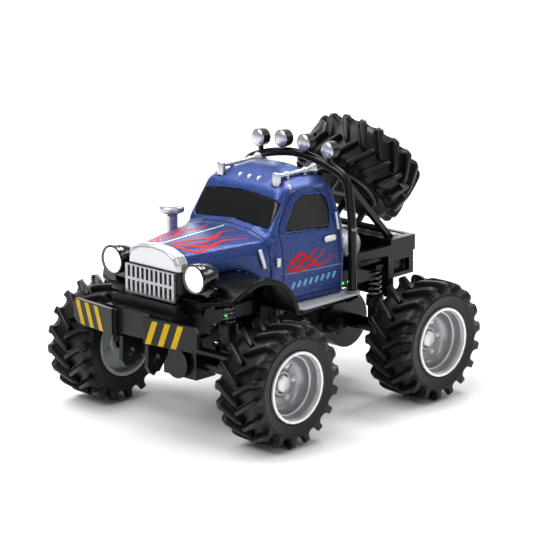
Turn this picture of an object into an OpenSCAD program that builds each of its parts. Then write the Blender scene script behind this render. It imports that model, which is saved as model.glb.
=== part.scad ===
// Radio-controlled monster truck with an old-style pickup cab, millimetres.
// +X is the truck's left side, -Y its front and +Z up. The ground is Z = 0.

/* [Overall] */
// Distance between the front and rear axles
wheelbase = 160; // [156:1:164]
// Distance between the middle planes of the left and right tyres
track = 177; // [175:1:180]
// Shift of the wheelbase's middle from the origin, rearwards
mid_y = -4; // [-6:1:-2]

/* [Wheels] */
// Diameter over the tyre lugs
tyre_d = 92; // [90:1:94]
// Width of the tyre over its lugs
tyre_w = 42; // [41:0.5:43]
// Lugs on each side of the tread
lug_count = 18; // [14:1:20]
// Slant of a lug from the wheel's axial direction, degrees
lug_slant = 32; // [20:1:36]
// Diameter of the rim's outer lip
rim_lip_d = 52.8; // [52:0.2:54]
// Bolt heads on the rim's dish
rim_bolts = 6; // [5:1:10]

/* [Suspension] */
// Height of a link's pivot on the chassis
pivot_z = 62; // [60:1:64]
// Distance from a link's pivot forwards or rearwards to its axle
link_reach = 54; // [52:1:56]
// Distance of a coil spring from the middle plane
spring_x = 40; // [38:1:41]
// Outer diameter of a coil spring
spring_d = 10; // [8:0.5:11]
// Diameter of the spring wire
wire_d = 1.2; // [0.8:0.1:1.4]
// Coils in a spring
spring_turns = 7; // [5:1:9]

/* [Steering] */
// Distance of a steering kingpin from the middle plane
kingpin_x = 66; // [65:0.5:66]
// Length of the steering arms and of the servo horn
steer_arm = 12; // [11:0.5:12.5]

/* [Body] */
// Wall of the cab and hood shell
shell_wall = 2; // [1.6:0.1:2.4]
// Height of the roof
roof_z = 181.5; // [178:0.5:183]
// Height of the hood's crown
hood_z = 140; // [138:0.5:141]
// Width of the roll hoop over its posts
hoop_w = 121; // [119:1:123]

/* [Spare wheel] */
// Tilt of the spare wheel's axis from the vertical, degrees
spare_tilt = 46; // [43:1:49]

/* [Hidden] */

tyre_r = tyre_d / 2;
axle_z = tyre_r;
front_y = mid_y - wheelbase / 2;
rear_y = mid_y + wheelbase / 2;
front_pivot_y = front_y + link_reach;
rear_pivot_y = rear_y - link_reach;
run_gap = 0.05;                 // radial clearance of a shaft in its bore
fit_gap = 0.3;                  // clearance between parts that move past each other
far = 400;                      // longer than the truck, for cutting tools

// Colours
black = "#1b1b1d";
dark = "#2b2c2e";
rubber = "#161617";
blue = "#24418f";
silver = "#c9cbcd";
yellow = "#e2b41c";
clear_white = "#f4f6f8";
glass = "#26282b";

// ---- helpers ----

// Lays a shape made along Z down along X, its +Z side outwards to the left.
module along_x() { rotate([0, 90, 0]) children(); }

// Lays a shape made along Z down along Y, its +Z side forwards.
module along_front() { rotate([90, 0, 0]) children(); }

// Repeats a shape on the left and mirrored on the right.
module both_sides() { children(); mirror([1, 0, 0]) children(); }

// Puts a left-hand shape on the left (side = 1) or mirrors it to the right (side = -1).
module on_side(side) { if (side > 0) children(); else mirror([1, 0, 0]) children(); }

// A box centred on X, from y0 to y1 and z0 to z1.
module mid_box(width, y0, y1, z0, z1) {
    translate([-width / 2, y0, z0]) cube([width, y1 - y0, z1 - z0]);
}

// A box from x0 to x1, y0 to y1 and z0 to z1.
module box(x0, x1, y0, y1, z0, z1) {
    translate([x0, y0, z0]) cube([x1 - x0, y1 - y0, z1 - z0]);
}

// Extrudes an outline drawn in (Y, Z) along X, from x0 to x1.
module side_profile(x0, x1, points) {
    translate([x0, 0, 0]) rotate([90, 0, 90]) linear_extrude(x1 - x0) polygon(points);
}

// Points on an arc in a plane, from angle a0 to a1.
function arc(cx, cy, r, a0, a1, steps) =
    [for (i = [0:steps]) let (a = a0 + (a1 - a0) * i / steps) [cx + r * cos(a), cy + r * sin(a)]];

// The same outline mirrored in its first coordinate, in reverse order.
function mirrored(points) = [for (i = [len(points) - 1:-1:0]) [-points[i][0], points[i][1]]];

// ---- wheel, made about Z with its outer face towards +Z ----

lug_w = 4.6;                    // thickness of a lug
lug_h = 5.5;                    // height of a lug over the tread
tread_r = tyre_r - lug_h;
side_half = tyre_w / 2;
bead_r = 25.1;                  // radius of the hole that the rim sits in
lug_pivot = 10;                 // axial place about which a lug slants

// Outline of the tyre's wall in (radius, axial) coordinates.
carcass_outer = [[bead_r, 18.5], [28, 19.2], [33, 20.5], [37.5, 20.3], [tread_r - 0.4, 17.5],
                 [tread_r, 8]];
// Outline of the tread's crown, which the tops of the lugs follow.
crown = [[tread_r - 6, side_half], [tread_r, side_half], [tyre_r - 2.6, side_half - 1], [tyre_r, side_half - 5.5]];
carcass_inner = [[bead_r, 15.5], [30, 17.4], [36, 17.4], [tread_r - 2.8, 13.5]];

function reversed(points) = [for (i = [len(points) - 1:-1:0]) points[i]];
function other_half(points) = [for (p = points) [p[0], -p[1]]];

// One slanted bar of the tread, on the outer half, reaching down over the shoulder.
module lug() {
    reach_in = lug_pivot / cos(lug_slant) + 1;
    reach_out = (side_half - lug_pivot) / cos(lug_slant) - lug_w / 2 * tan(lug_slant);
    profile = [[tread_r - 2, -reach_in], [tyre_r, -reach_in], [tyre_r, reach_out - 4.5],
               [tyre_r - 2.4, reach_out - 1], [tread_r - 0.5, reach_out], [tread_r - 5, reach_out - 0.6],
               [tread_r - 5, reach_out - 4], [tread_r - 2, reach_out - 7]];
    translate([0, 0, lug_pivot]) rotate([lug_slant, 0, 0])
        rotate([90, 0, 0]) linear_extrude(lug_w, center = true) polygon(profile);
}

module tyre() {
    color(rubber) union() {
        rotate_extrude($fn = 96)
            polygon(concat(carcass_outer, reversed(other_half(carcass_outer)),
                           other_half(carcass_inner), reversed(carcass_inner)));
        intersection() {
            rotate_extrude($fn = 96) polygon(concat(crown, reversed(other_half(crown))));
            for (i = [0:lug_count - 1]) {
                rotate(i * 360 / lug_count) lug();
                rotate((i + 0.5) * 360 / lug_count) mirror([0, 0, 1]) lug();
            }
        }
    }
}

rim_half = 20.7;                // half width of the rim over its lips
lip_r = rim_lip_d / 2;
lip_w = 1.9;                    // width of a rim lip
barrel_r = bead_r - run_gap;
drum_r = 23;                    // inner radius of the rim's barrel
floor_a = 3;                    // axial place of the dish's floor
bolt_ring_r = 13.5;             // radius of the ring of bolt heads
hub_r = 8;                      // radius of the hub's flange
hub_in = -6;                    // inner end of the hub

module rim(bore_r) {
    outline = [[hub_r - 2.5, floor_a + 1.2], [hub_r, floor_a + 1.2], [hub_r, floor_a],
               [18.5, floor_a], [20.3, floor_a + 1.5], [21.2, floor_a + 5.5], [22.4, floor_a + 6.5],
               [drum_r, 17.5], [24.2, 18.4], [24.6, rim_half], [lip_r - 0.3, rim_half],
               [lip_r, rim_half - 0.5], [lip_r, rim_half - lip_w], [barrel_r, rim_half - lip_w],
               [barrel_r, lip_w - rim_half], [lip_r, lip_w - rim_half], [lip_r, -rim_half],
               [drum_r + 0.6, -rim_half], [drum_r, -18], [drum_r, floor_a - 2.5],
               [19, floor_a - 3], [7, floor_a - 3], [6, hub_in], [bore_r, hub_in],
               [bore_r, floor_a + 1.2]];
    color(silver) difference() {
        union() {
            rotate_extrude($fn = 96) polygon(outline);
            translate([0, 0, floor_a]) cylinder(h = 3.6, r = 5.9, $fn = 6);
            for (i = [0:rim_bolts - 1])
                rotate(i * 360 / rim_bolts) translate([bolt_ring_r, 0, floor_a - 0.5])
                    cylinder(h = 1.7, r = 1.5, $fn = 24);
        }
        translate([0, 0, hub_in - 1]) cylinder(h = floor_a - hub_in + 2.5, r = bore_r, $fn = 48);
    }
}

// Puts a wheel shape on its hub: side = 1 left or -1 right.
module at_wheel(side, y) { on_side(side) translate([track / 2, y, axle_z]) along_x() children(); }

stub_r = 2;                     // radius of the front stub axles and of the rear shaft

module front_left_tyre() { at_wheel(1, front_y) tyre(); }
module front_right_tyre() { at_wheel(-1, front_y) tyre(); }
module rear_left_tyre() { at_wheel(1, rear_y) tyre(); }
module rear_right_tyre() { at_wheel(-1, rear_y) tyre(); }
module front_left_rim() { at_wheel(1, front_y) rim(stub_r + run_gap); }
module front_right_rim() { at_wheel(-1, front_y) rim(stub_r + run_gap); }
module rear_left_rim() { at_wheel(1, rear_y) rim(stub_r + 0.01); }
module rear_right_rim() { at_wheel(-1, rear_y) rim(stub_r + 0.01); }

// ---- spare wheel and its rack ----

spare_c = [0, 100.8, 160.2];     // centre of the spare wheel
stud_r = 2.5;

// Places a shape made about Z on the spare wheel's axis, its +Z side up and rearwards.
module at_spare() { translate(spare_c) rotate([-spare_tilt, 0, 0]) children(); }

module spare_tyre() { at_spare() tyre(); }
module spare_rim() { at_spare() rim(stud_r + 0.01); }

rack_x = 40;                    // distance of the rack's bars from the middle plane
rack_w = 5;                     // width of a bar
plate_top = -side_half - 1.2;   // top of the mounting plate on the spare's axis
plate_t = 2.4;
bar_drop = -side_half - 15.7;     // top of the bars on the spare's axis
bar_down = 36;                  // how far a bar runs down the slope from the spare's axis
bar_up = 53.8;                    // how far it runs up to the roll hoop

module spare_rack() {
    color(black) at_spare() union() {
        both_sides() translate([rack_x - rack_w / 2, -bar_up, bar_drop - 4])
            cube([rack_w, bar_up + bar_down, 4]);
        for (y = [-24, 16]) translate([-rack_x, y, bar_drop - 3.5]) cube([2 * rack_x, 5, 3]);
        for (x = [-1, 1]) for (y = [-21.5, 18.5])
            translate([x * 12, y, bar_drop - 1]) cylinder(h = plate_top - plate_t - bar_drop + 1.5, r = 2.5, $fn = 24);
        translate([0, 0, plate_top - plate_t]) cylinder(h = plate_t, r = 26, $fn = 64);
        translate([0, 0, plate_top - plate_t]) cylinder(h = floor_a - plate_top + plate_t, r = stud_r, $fn = 32);
        translate([0, 0, plate_top - 0.5]) cylinder(h = hub_in - plate_top + 0.5, r = 5, $fn = 32);
    }
}

// ---- chassis ----

rail_x = 16;                    // inner face of a frame rail
rail_t = 5;                     // thickness of a frame rail
rail_z0 = 76;
rail_z1 = 86;
ear_x = 22;                     // inner face of a pivot ear
ear_t = 4;
trunnion_r = 2.5;
tub_y0 = front_pivot_y + 8;     // battery box, between the two pivots
tub_y1 = rear_pivot_y - 8;
tub_w = 46;
tub_z0 = 60;
door_t = 2;                     // thickness of the battery door
door_y0 = tub_y0 + 3;
door_y1 = tub_y1 - 3;
door_w = 38;
tower_z = 99;                   // underside of the upper spring seats
front_seat_z = 77;              // top of the lower spring seats on the front axle
rear_tower_z = 92;
rear_seat_z = 66;               // top of the lower spring seats on the rear axle
post_r = 2.6;                   // radius of the posts inside the springs
switch_y = tub_y0 + 6;
arm_z0 = 77;                    // underside of the arms to the running boards

module pivot_ear(y) {
    translate([ear_x, y, pivot_z]) along_x() cylinder(h = ear_t, r = 6, $fn = 48);
    box(ear_x, ear_x + ear_t, y - 6, y + 6, pivot_z, rail_z0 + 1);
}

module spring_tower(y, seat_z) {
    mid_box(2 * spring_x + 14, y - 7, y + 7, seat_z, seat_z + 4);
    both_sides() box(17, 21, y - 5, y + 5, rail_z1 - 1, seat_z + 1);
    both_sides() translate([spring_x, y, seat_z - 6]) cylinder(h = 7, r = post_r, $fn = 32);
}

module chassis_frame() {
    color(black) difference() {
        union() {
            both_sides() {
                box(rail_x, rail_x + rail_t, -136, 112, rail_z0, rail_z1);
                pivot_ear(front_pivot_y);
                pivot_ear(rear_pivot_y);
                box(rail_x, ear_x + ear_t, front_pivot_y - 6, front_pivot_y + 6, rail_z0, rail_z1);
                box(rail_x, ear_x + ear_t, rear_pivot_y - 6, rear_pivot_y + 6, rail_z0, rail_z1);
                // arms out to the running boards, the cab's sills and the hoop's feet
                for (y = [-20, 4, 27.5]) box(20, 55, y, y + 7, arm_z0, arm_z0 + 3.2);
            }
            for (y = [-136, -112, 50, 106]) mid_box(2 * rail_x + 2, y, y + 6, rail_z0 + 2, rail_z1 - 2);
            spring_tower(front_y, tower_z);
            spring_tower(rear_y, rear_tower_z);
            mid_box(tub_w, tub_y0, tub_y1, tub_z0, rail_z1);
        }
        // battery compartment, open downwards
        mid_box(tub_w - 6, tub_y0 + 2, tub_y1 - 2, tub_z0 + door_t + 1, rail_z1 - 3);
        mid_box(door_w + 0.8, door_y0 - 0.8, door_y1 + 0.4, tub_z0 - 1, tub_z0 + door_t + 2);
        // bores for the link trunnions
        for (y = [front_pivot_y, rear_pivot_y]) translate([-far / 2, y, pivot_z])
            along_x() cylinder(h = far, r = trunnion_r + run_gap, $fn = 48);
        // hinge bore of the battery door
        translate([-far / 2, door_y0 + 1, tub_z0 + 1.1]) along_x() cylinder(h = far, r = 0.65, $fn = 24);
        // slot for the power switch in the left wall
        box(tub_w / 2 - 4, tub_w / 2 + 1, switch_y, switch_y + 14, 69, 75);
    }
}

module battery_pack() {
    color("#3b6fb0") union() {
        mid_box(34, tub_y0 + 4, tub_y1 - 4, tub_z0 + door_t + 3, tub_z0 + 18);
        mid_box(12, tub_y0 + 8, tub_y0 + 14, tub_z0 + 17.5, tub_z0 + 19.5);
    }
}

// Door under the battery box, hinged along its front edge.
module battery_door() {
    color(dark) union() {
        mid_box(door_w, door_y0, door_y1, tub_z0, tub_z0 + door_t);
        translate([-door_w / 2 - 1.4, door_y0 + 1, tub_z0 + 1.1]) along_x()
            cylinder(h = door_w + 2.8, r = 0.6, $fn = 24);
        for (i = [0:4]) mid_box(24 - 2 * i, door_y1 - 5 - 3 * i, door_y1 - 4 - 3 * i, tub_z0 - 0.5, tub_z0 + 0.1);
    }
}

// Slide switch in the side of the battery box.
module power_switch() {
    color(silver) union() {
        box(tub_w / 2 - 3.4, tub_w / 2 - 0.6, switch_y + 1, switch_y + 8, 69.4, 74.6);
        box(tub_w / 2 - 0.7, tub_w / 2 + 1.6, switch_y + 2.5, switch_y + 6.5, 70.4, 73.6);
    }
}

module receiver_board() {
    color("#1d6b3c") union() {
        mid_box(30, tub_y0 + 4, tub_y1 - 6, rail_z1 + 2, rail_z1 + 3.6);
        for (x = [-11, 11]) for (y = [tub_y0 + 7, tub_y1 - 9])
            translate([x, y, rail_z1]) cylinder(h = 2.5, r = 2, $fn = 24);
        box(-9, 3, tub_y0 + 12, tub_y0 + 20, rail_z1 + 3.5, rail_z1 + 6);
        box(6, 12, tub_y0 + 14, tub_y0 + 22, rail_z1 + 3.5, rail_z1 + 10);
    }
}

// Screws that hold the body to the sills and the axle covers.
screw_spots = [[49, -16.5, arm_z0], [49, 7.5, arm_z0], [49, 31, arm_z0], [18.5, -124, rail_z0], [18.5, 95, rail_z0]];
module body_screws() {
    color(silver) both_sides() for (p = screw_spots) translate([p[0], p[1], p[2] - 1.2]) difference() {
        cylinder(h = 1.2, r = 2, $fn = 32);
        for (a = [0, 90]) rotate(a) translate([-1.4, -0.3, -0.1]) cube([2.8, 0.6, 0.7]);
    }
}

// ---- links, axles, steering ----

link_z = 50;                    // height of the roll pivot's pin
roll_pin_r = 2.5;
boss_y = 8;                     // distance from the axle to the near end of the roll bore
boss_len = 10;

// Link of one axle: a cross tube on the chassis pivot and a tapering arm to the roll pin.
// Made for the front; dir = -1 points it forwards and 1 rearwards.
module axle_link(pivot_y, dir, pin_root, pin_len) {
    arm = [[pivot_y, pivot_z - 4], [pivot_y, pivot_z + 4], [pin_root, link_z + 4], [pin_root, link_z - 4]];
    color(black) union() {
        translate([-ear_x + fit_gap, pivot_y, pivot_z]) along_x()
            cylinder(h = 2 * (ear_x - fit_gap), r = 5, $fn = 48);
        translate([-ear_x - ear_t, pivot_y, pivot_z]) along_x()
            cylinder(h = 2 * (ear_x + ear_t), r = trunnion_r, $fn = 48);
        for (x = [-13, 7]) side_profile(x, x + 6, arm);
        mid_box(26, min(pin_root, pin_root - dir * 5), max(pin_root, pin_root - dir * 5), link_z - 4, link_z + 4);
        translate([0, pin_root, link_z]) rotate([dir > 0 ? -90 : 90, 0, 0])
            cylinder(h = pin_len, r = roll_pin_r, $fn = 48);
    }
}

front_root = front_y + boss_y + boss_len + 0.6;
rear_boss_y = rear_y - 36;      // front end of the rear axle's roll bearing
rear_boss_len = 8;

module front_link() { axle_link(front_pivot_y, -1, front_root, boss_len + 4); }
module rear_link() { axle_link(rear_pivot_y, 1, rear_boss_y - 0.6, rear_boss_len + 0.6); }

// Round bar along Y at the height of the roll pins, rearwards from y0.
module roll_bar(y0, length, r) {
    translate([0, y0, link_z]) rotate([-90, 0, 0]) cylinder(h = length, r = r, $fn = 48);
}

module spring_seat(axle_y, seat_z) {
    translate([spring_x, axle_y, seat_z - 3]) cylinder(h = 3, r = 7, $fn = 48);
    translate([spring_x, axle_y, seat_z - 1]) cylinder(h = 5, r = post_r, $fn = 32);
    box(spring_x - 4, spring_x + 4, axle_y - 4, axle_y + 4, axle_z, seat_z - 2);
}

yoke_half = 9;                  // half height of the gap in a steering yoke
kingpin_r = 1.5;

module front_axle_housing() {
    color(black) difference() {
        union() {
            translate([-kingpin_x + 6, front_y, axle_z]) along_x() cylinder(h = 2 * (kingpin_x - 6), r = 5.5, $fn = 48);
            mid_box(34, front_y - 11, front_y + 9, axle_z - 11, axle_z + 11);
            translate([0, front_y + 9, axle_z]) along_front() cylinder(h = 24, r = 11.5, $fn = 64);
            roll_bar(front_y + boss_y - 3, boss_len + 3, 6);
            both_sides() {
                spring_seat(front_y, front_seat_z);
                // upper and lower ears of the steering yoke
                box(kingpin_x - 9, kingpin_x - 5, front_y - 5, front_y + 5, axle_z - yoke_half - 3, axle_z + yoke_half + 3);
                for (z = [axle_z - yoke_half - 3, axle_z + yoke_half]) {
                    translate([kingpin_x, front_y, z]) cylinder(h = 3, r = 4, $fn = 32);
                    box(kingpin_x - 8, kingpin_x, front_y - 4, front_y + 4, z, z + 3);
                }
            }
        }
        both_sides() translate([kingpin_x, front_y, 0]) cylinder(h = 2 * axle_z, r = kingpin_r + run_gap, $fn = 32);
        roll_bar(front_y + boss_y - 4, boss_len + 5, roll_pin_r + run_gap);
        // space inside for the servo's gears
        mid_box(20, front_y - 7, front_y + 4, axle_z - 6, axle_z + 7);
    }
}

// Steering knuckle: a block on the kingpin, a stub axle outwards and an arm forwards.
rod_z = 58.5;                   // underside of the tie rod
module knuckle() {
    translate([kingpin_x, front_y, axle_z]) {
        translate([0, 0, -yoke_half + fit_gap]) cylinder(h = 2 * (yoke_half - fit_gap), r = 4.2, $fn = 48);
        translate([0, 0, -yoke_half - 3.5]) cylinder(h = 2 * yoke_half + 7, r = kingpin_r, $fn = 32);
        along_x() cylinder(h = track / 2 - kingpin_x + floor_a - 0.5, r = stub_r, $fn = 32);
        along_x() cylinder(h = 14, r = 3.6, $fn = 32);
        translate([-2, -steer_arm, 4]) cube([4, steer_arm, 4]);
        translate([0, -steer_arm, 4]) cylinder(h = 4, r = 2.6, $fn = 32);
        translate([0, -steer_arm, 4]) cylinder(h = rod_z - axle_z - 4 + 4.2, r = 1.3, $fn = 32);
    }
}

module knuckle_left() { color(dark) knuckle(); }
module knuckle_right() { color(dark) mirror([1, 0, 0]) knuckle(); }

// Flat rod across the front of the axle; its eyes are slots, so the arms can swing.
slot_half = 1.8;                // half width of an eye's slot
slot_run = 2.6;                 // travel of a pin along its slot
rod_half = 3.9;                 // half width of the rod
module slot_eye(x) {
    y = front_y - steer_arm;
    translate([x, y - slot_run / 2, rod_z - 1]) cylinder(h = 6, r = slot_half, $fn = 32);
    translate([x, y + slot_run / 2, rod_z - 1]) cylinder(h = 6, r = slot_half, $fn = 32);
    translate([x - slot_half, y - slot_run / 2, rod_z - 1]) cube([2 * slot_half, slot_run, 6]);
}

module tie_rod() {
    y = front_y - steer_arm;
    color(dark) difference() {
        union() {
            mid_box(2 * kingpin_x, y - rod_half, y + rod_half, rod_z, rod_z + 2.6);
            for (x = [-kingpin_x, kingpin_x]) translate([x, y, rod_z]) cylinder(h = 2.6, r = rod_half, $fn = 48);
        }
        for (x = [-kingpin_x, 0, kingpin_x]) slot_eye(x);
    }
}

servo_z0 = 64;                  // underside of the servo's case
module steering_servo() {
    color("#303236") difference() {
        union() {
            mid_box(26, front_y - 7, front_y + 8, servo_z0, servo_z0 + 9);
            mid_box(34, front_y - 5, front_y + 6, servo_z0, servo_z0 + 2);
            both_sides() box(13, 17, front_y - 5, front_y + 6, axle_z + 11, servo_z0 + 0.5);
        }
        translate([0, front_y, servo_z0 - 1]) cylinder(h = 6, r = 2 + run_gap, $fn = 32);
    }
}

// Horn on the servo's output shaft, with a pin in the tie rod's middle slot.
module servo_horn() {
    color(clear_white) translate([0, front_y, 0]) {
        translate([0, 0, rod_z + 3.1]) cylinder(h = 2, r = 4, $fn = 32);
        translate([0, 0, rod_z + 3.1]) cylinder(h = servo_z0 - rod_z + 1, r = 2, $fn = 32);
        translate([-2.5, -steer_arm, rod_z + 3.1]) cube([5, steer_arm, 2]);
        translate([0, -steer_arm, rod_z + 3.1]) cylinder(h = 2, r = 2.5, $fn = 32);
        translate([0, -steer_arm, rod_z - 0.2]) cylinder(h = 5, r = 1.3, $fn = 32);
    }
}

// Rear drive: motor in the axle housing, pinion on it and crown gear on the shaft.
gear_m = 1;                     // gear module
pinion_teeth = 10;
crown_teeth = 30;
pinion_y = rear_y - (pinion_teeth + crown_teeth) * gear_m / 2;
gear_x = -2;                    // left face of the gears
gear_w = 4;
motor_x = 2.8;                  // right end of the motor
motor_r = 6.5;

// Spur gear about Z: tooth flanks are straight and slim, so that meshed teeth stay clear.
module spur_gear(teeth, width, turn) {
    pitch_r = teeth * gear_m / 2;
    root_r = pitch_r - 1.25 * gear_m;
    tip_r = pitch_r + 0.8 * gear_m;
    tooth = [[root_r - 0.6, 0.85], [pitch_r, 0.62], [tip_r, 0.3], [tip_r, -0.3], [pitch_r, -0.62], [root_r - 0.6, -0.85]];
    linear_extrude(width) union() {
        circle(r = root_r, $fn = 64);
        for (i = [0:teeth - 1]) rotate(turn + i * 360 / teeth) polygon(tooth);
    }
}

module rear_axle_housing() {
    color(black) difference() {
        union() {
            translate([-62, rear_y, axle_z]) along_x() cylinder(h = 124, r = 5.5, $fn = 48);
            translate([-12, rear_y, axle_z]) along_x() cylinder(h = 24, r = 22, $fn = 64);
            mid_box(24, pinion_y - 9, rear_y, axle_z - 11, axle_z + 11);
            roll_bar(rear_boss_y, rear_boss_len, 6);
            both_sides() spring_seat(rear_y, rear_seat_z);
        }
        // bore for the axle shaft
        translate([-far / 2, rear_y, axle_z]) along_x() cylinder(h = far, r = stub_r + run_gap, $fn = 48);
        // gear chamber
        translate([-9, rear_y, axle_z]) along_x() cylinder(h = 18, r = 19, $fn = 64);
        box(-9, motor_x - 0.3, pinion_y - 7, rear_y, axle_z - 8, axle_z + 8);
        box(motor_x - 0.4, 9, pinion_y + 10, rear_y, axle_z - 8, axle_z + 8);
        // bore for the roll pin
        roll_bar(rear_boss_y - 1, rear_boss_len + 1.4, roll_pin_r + run_gap);
        // seat of the motor's can
        translate([motor_x - 0.4, pinion_y, axle_z]) along_x() cylinder(h = 20, r = motor_r + 0.01, $fn = 48);
    }
}

module drive_motor() {
    color(silver) translate([motor_x, pinion_y, axle_z]) along_x() difference() {
        union() {
            cylinder(h = 19, r = motor_r, $fn = 48);
            translate([0, 0, 18.5]) cylinder(h = 2, r = 3, $fn = 32);
            translate([0, 0, 18.5]) for (y = [-4.6, 3.8]) translate([-1.2, y, 0]) cube([2.4, 0.8, 3.5]);
        }
        translate([0, 0, -1]) cylinder(h = 4.5, r = 1 + run_gap, $fn = 24);
    }
}

module motor_pinion() {
    color("#d8b45a") translate([gear_x, pinion_y, axle_z]) along_x() union() {
        spur_gear(pinion_teeth, gear_w, 90 + 180 / pinion_teeth);
        translate([0, 0, gear_w - 0.5]) cylinder(h = 3.2, r = 1, $fn = 24);
    }
}

module rear_axle_shaft() {
    half = track / 2 + floor_a + 0.5;
    color(silver) translate([0, rear_y, axle_z]) along_x() union() {
        translate([0, 0, -half]) cylinder(h = 2 * half, r = stub_r, $fn = 48);
        translate([0, 0, gear_x]) spur_gear(crown_teeth, gear_w, 90);
    }
}

// Coil spring about Z: a round wire swept up a helix.
wire_sides = 6;
steps_per_turn = 14;
function spring_ring(i, height) =
    let (a = 360 * i / steps_per_turn, r = spring_d / 2 - wire_d / 2,
         z = wire_d / 2 + (height - wire_d) * i / (spring_turns * steps_per_turn))
    [for (k = [0:wire_sides - 1]) let (b = 360 * k / wire_sides)
        [(r + wire_d / 2 * cos(b)) * cos(a), (r + wire_d / 2 * cos(b)) * sin(a), z + wire_d / 2 * sin(b)]];

module coil_spring(height) {
    rings = spring_turns * steps_per_turn;
    points = [for (i = [0:rings]) each spring_ring(i, height)];
    walls = [for (i = [0:rings - 1]) for (k = [0:wire_sides - 1]) let (n = (k + 1) % wire_sides)
        [i * wire_sides + k, (i + 1) * wire_sides + k, (i + 1) * wire_sides + n, i * wire_sides + n]];
    caps = [[for (k = [0:wire_sides - 1]) k], [for (k = [wire_sides - 1:-1:0]) rings * wire_sides + k]];
    polyhedron(points, concat(walls, caps));
}

module spring_at(side, y, z0, z1) {
    color("#9ea1a4") translate([side * spring_x, y, z0]) coil_spring(z1 - z0);
}

module spring_front_left() { spring_at(1, front_y, front_seat_z, tower_z); }
module spring_front_right() { spring_at(-1, front_y, front_seat_z, tower_z); }
module spring_rear_left() { spring_at(1, rear_y, rear_seat_z, rear_tower_z); }
module spring_rear_right() { spring_at(-1, rear_y, rear_seat_z, rear_tower_z); }

// ---- cab, hood and glass ----

cab_bottom = 85;
belt_z = 138;                   // height of the window sills
cab_back = 31;                  // rear face of the cab

// Outline of half the hood's cross-section in (X, Z): half width w, crown z.
function hood_half(w, crown) = [[w, 106], [w, crown - 12], [w - 3.5, crown - 5.5], [w * 0.55, crown - 1.6], [0, crown]];

module hood_section(y, w, crown) {
    half = hood_half(w, crown);
    translate([0, y + 1, 0]) rotate([90, 0, 0]) linear_extrude(1) polygon(concat(half, mirrored(half)));
}

// A thin level slab of the cab: half widths wf in front at yf and wr behind at yr.
module cab_slab(z, yf, wf, yr, wr, r) {
    for (s = [-1, 1]) {
        translate([s * (wf - r), yf + r, z]) cylinder(h = 0.5, r = r, $fn = 32);
        translate([s * (wr - r), yr - r, z]) cylinder(h = 0.5, r = r, $fn = 32);
    }
}

// Outer skin of the cab and hood, shrunk inwards by i.
module hood_form(i) {
    hull() { hood_section(-113 + i, 28.5 - i, hood_z - 1 - i); hood_section(-46 - i, 44.5 - i, hood_z + 1 - i); }
    hull() { hood_section(-48, 44.5 - i, hood_z + 1 - i); hood_section(-37 + i, 45 - i, hood_z + 6.5 - i); }
}

module lower_form(i) {
    hull() {
        cab_slab(cab_bottom, -47 + i, 46.5 - i, cab_back - 1 - i, 51.5 - i, 7 - i);
        cab_slab(112, -48 + i, 47 - i, cab_back - i, 52 - i, 7 - i);
        cab_slab(belt_z - 0.5, -42 + i, 45.5 - i, cab_back + 1 - i, 49.5 - i, 7 - i);
    }
}

module roof_form(i) {
    hull() for (s = [-1, 1]) {
        translate([s * (45.5 - 7), -42 + 7, belt_z]) sphere(r = 7 - i, $fn = 32);
        translate([s * (49.5 - 8), cab_back + 1 - 8, belt_z]) sphere(r = 8 - i, $fn = 32);
        translate([s * (41 - 8), -27.5 + 8, 164]) sphere(r = 8 - i, $fn = 32);
        translate([s * (42.5 - 10), 29 - 10, 162]) sphere(r = 10 - i, $fn = 32);
        translate([s * 12, -3, roof_z - 16]) sphere(r = 16 - i, $fn = 48);
        translate([s * 10, 4, roof_z - 22]) sphere(r = 22 - i, $fn = 48);
    }
}

module cab_form(i) { hood_form(i); lower_form(i); roof_form(i); }

// Cutting tools for the three kinds of window opening, grown outwards by g.
module windshield_hole(g) {
    right = [[37 + g, -2.4 - g], [39 + g, 2], [39.6 + g, 16.5], [37.6 + g, 18.9 + g], [20, 21.4 + g]];
    points = concat([[0, 1.2 - g]], right, [[0, 22.6 + g]], mirrored(right));
    translate([0, -39, 145]) rotate([90 - 31, 0, 0]) translate([0, 0, -18]) linear_extrude(40) polygon(points);
}

function side_window_outline(g) =
    [[-30.2 - g, belt_z + 2.3 - g], [15 + g, belt_z - 1.2 - g], [17.6 + g, 155.5], [16.3 + g, 158.6 + g],
     [12 + g, 160.9 + g], [-6 - g, 162.7 + g], [-13.5 - g, 160.8 + g], [-19 - g, 154.2], [-25.8 - g, 145]];

module side_window_hole(g) {
    both_sides() side_profile(25, 60, side_window_outline(g));
}

module rear_window_hole(g) {
    translate([-24 - g, 12, 146 - g]) cube([48 + 2 * g, 40, 16 + 2 * g]);
}

// Space that the front fenders' arches and the nose take out of the cab.
arch_r = 40;                    // outer radius of a fender's arch
arch_z = 78;                    // height of the arch's centre
arch_y = front_y + 4;           // and its place along the truck
module arch_hole() {
    translate([-far / 2, arch_y, arch_z]) along_x() cylinder(h = far, r = arch_r + fit_gap, $fn = 96);
    mid_box(far, -150, arch_y, 60, 105);
    // slope of the fenders' shelves
    side_profile(-far / 2, far / 2, [[-118, 104], [-118, 105.1], [-107.2, 107.5], [-104, 108.5], [-98, 104]]);
}

module cab_shell() {
    color(blue) difference() {
        cab_form(0);
        cab_form(shell_wall);
        mid_box(2 * 44, -48, cab_back - 3, cab_bottom - 1, cab_bottom + 4);
        windshield_hole(0);
        side_window_hole(0);
        rear_window_hole(0);
        arch_hole();
        // notches for the frame rails
        both_sides() box(rail_x - 1, rail_x + rail_t + 1, 20, 60, cab_bottom - 1, rail_z1 + 0.5);
        both_sides() horn_seat();
        stack_seat();
    }
}

seat_gap = 0.02;                // clearance round trim that is seated in the shell

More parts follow.
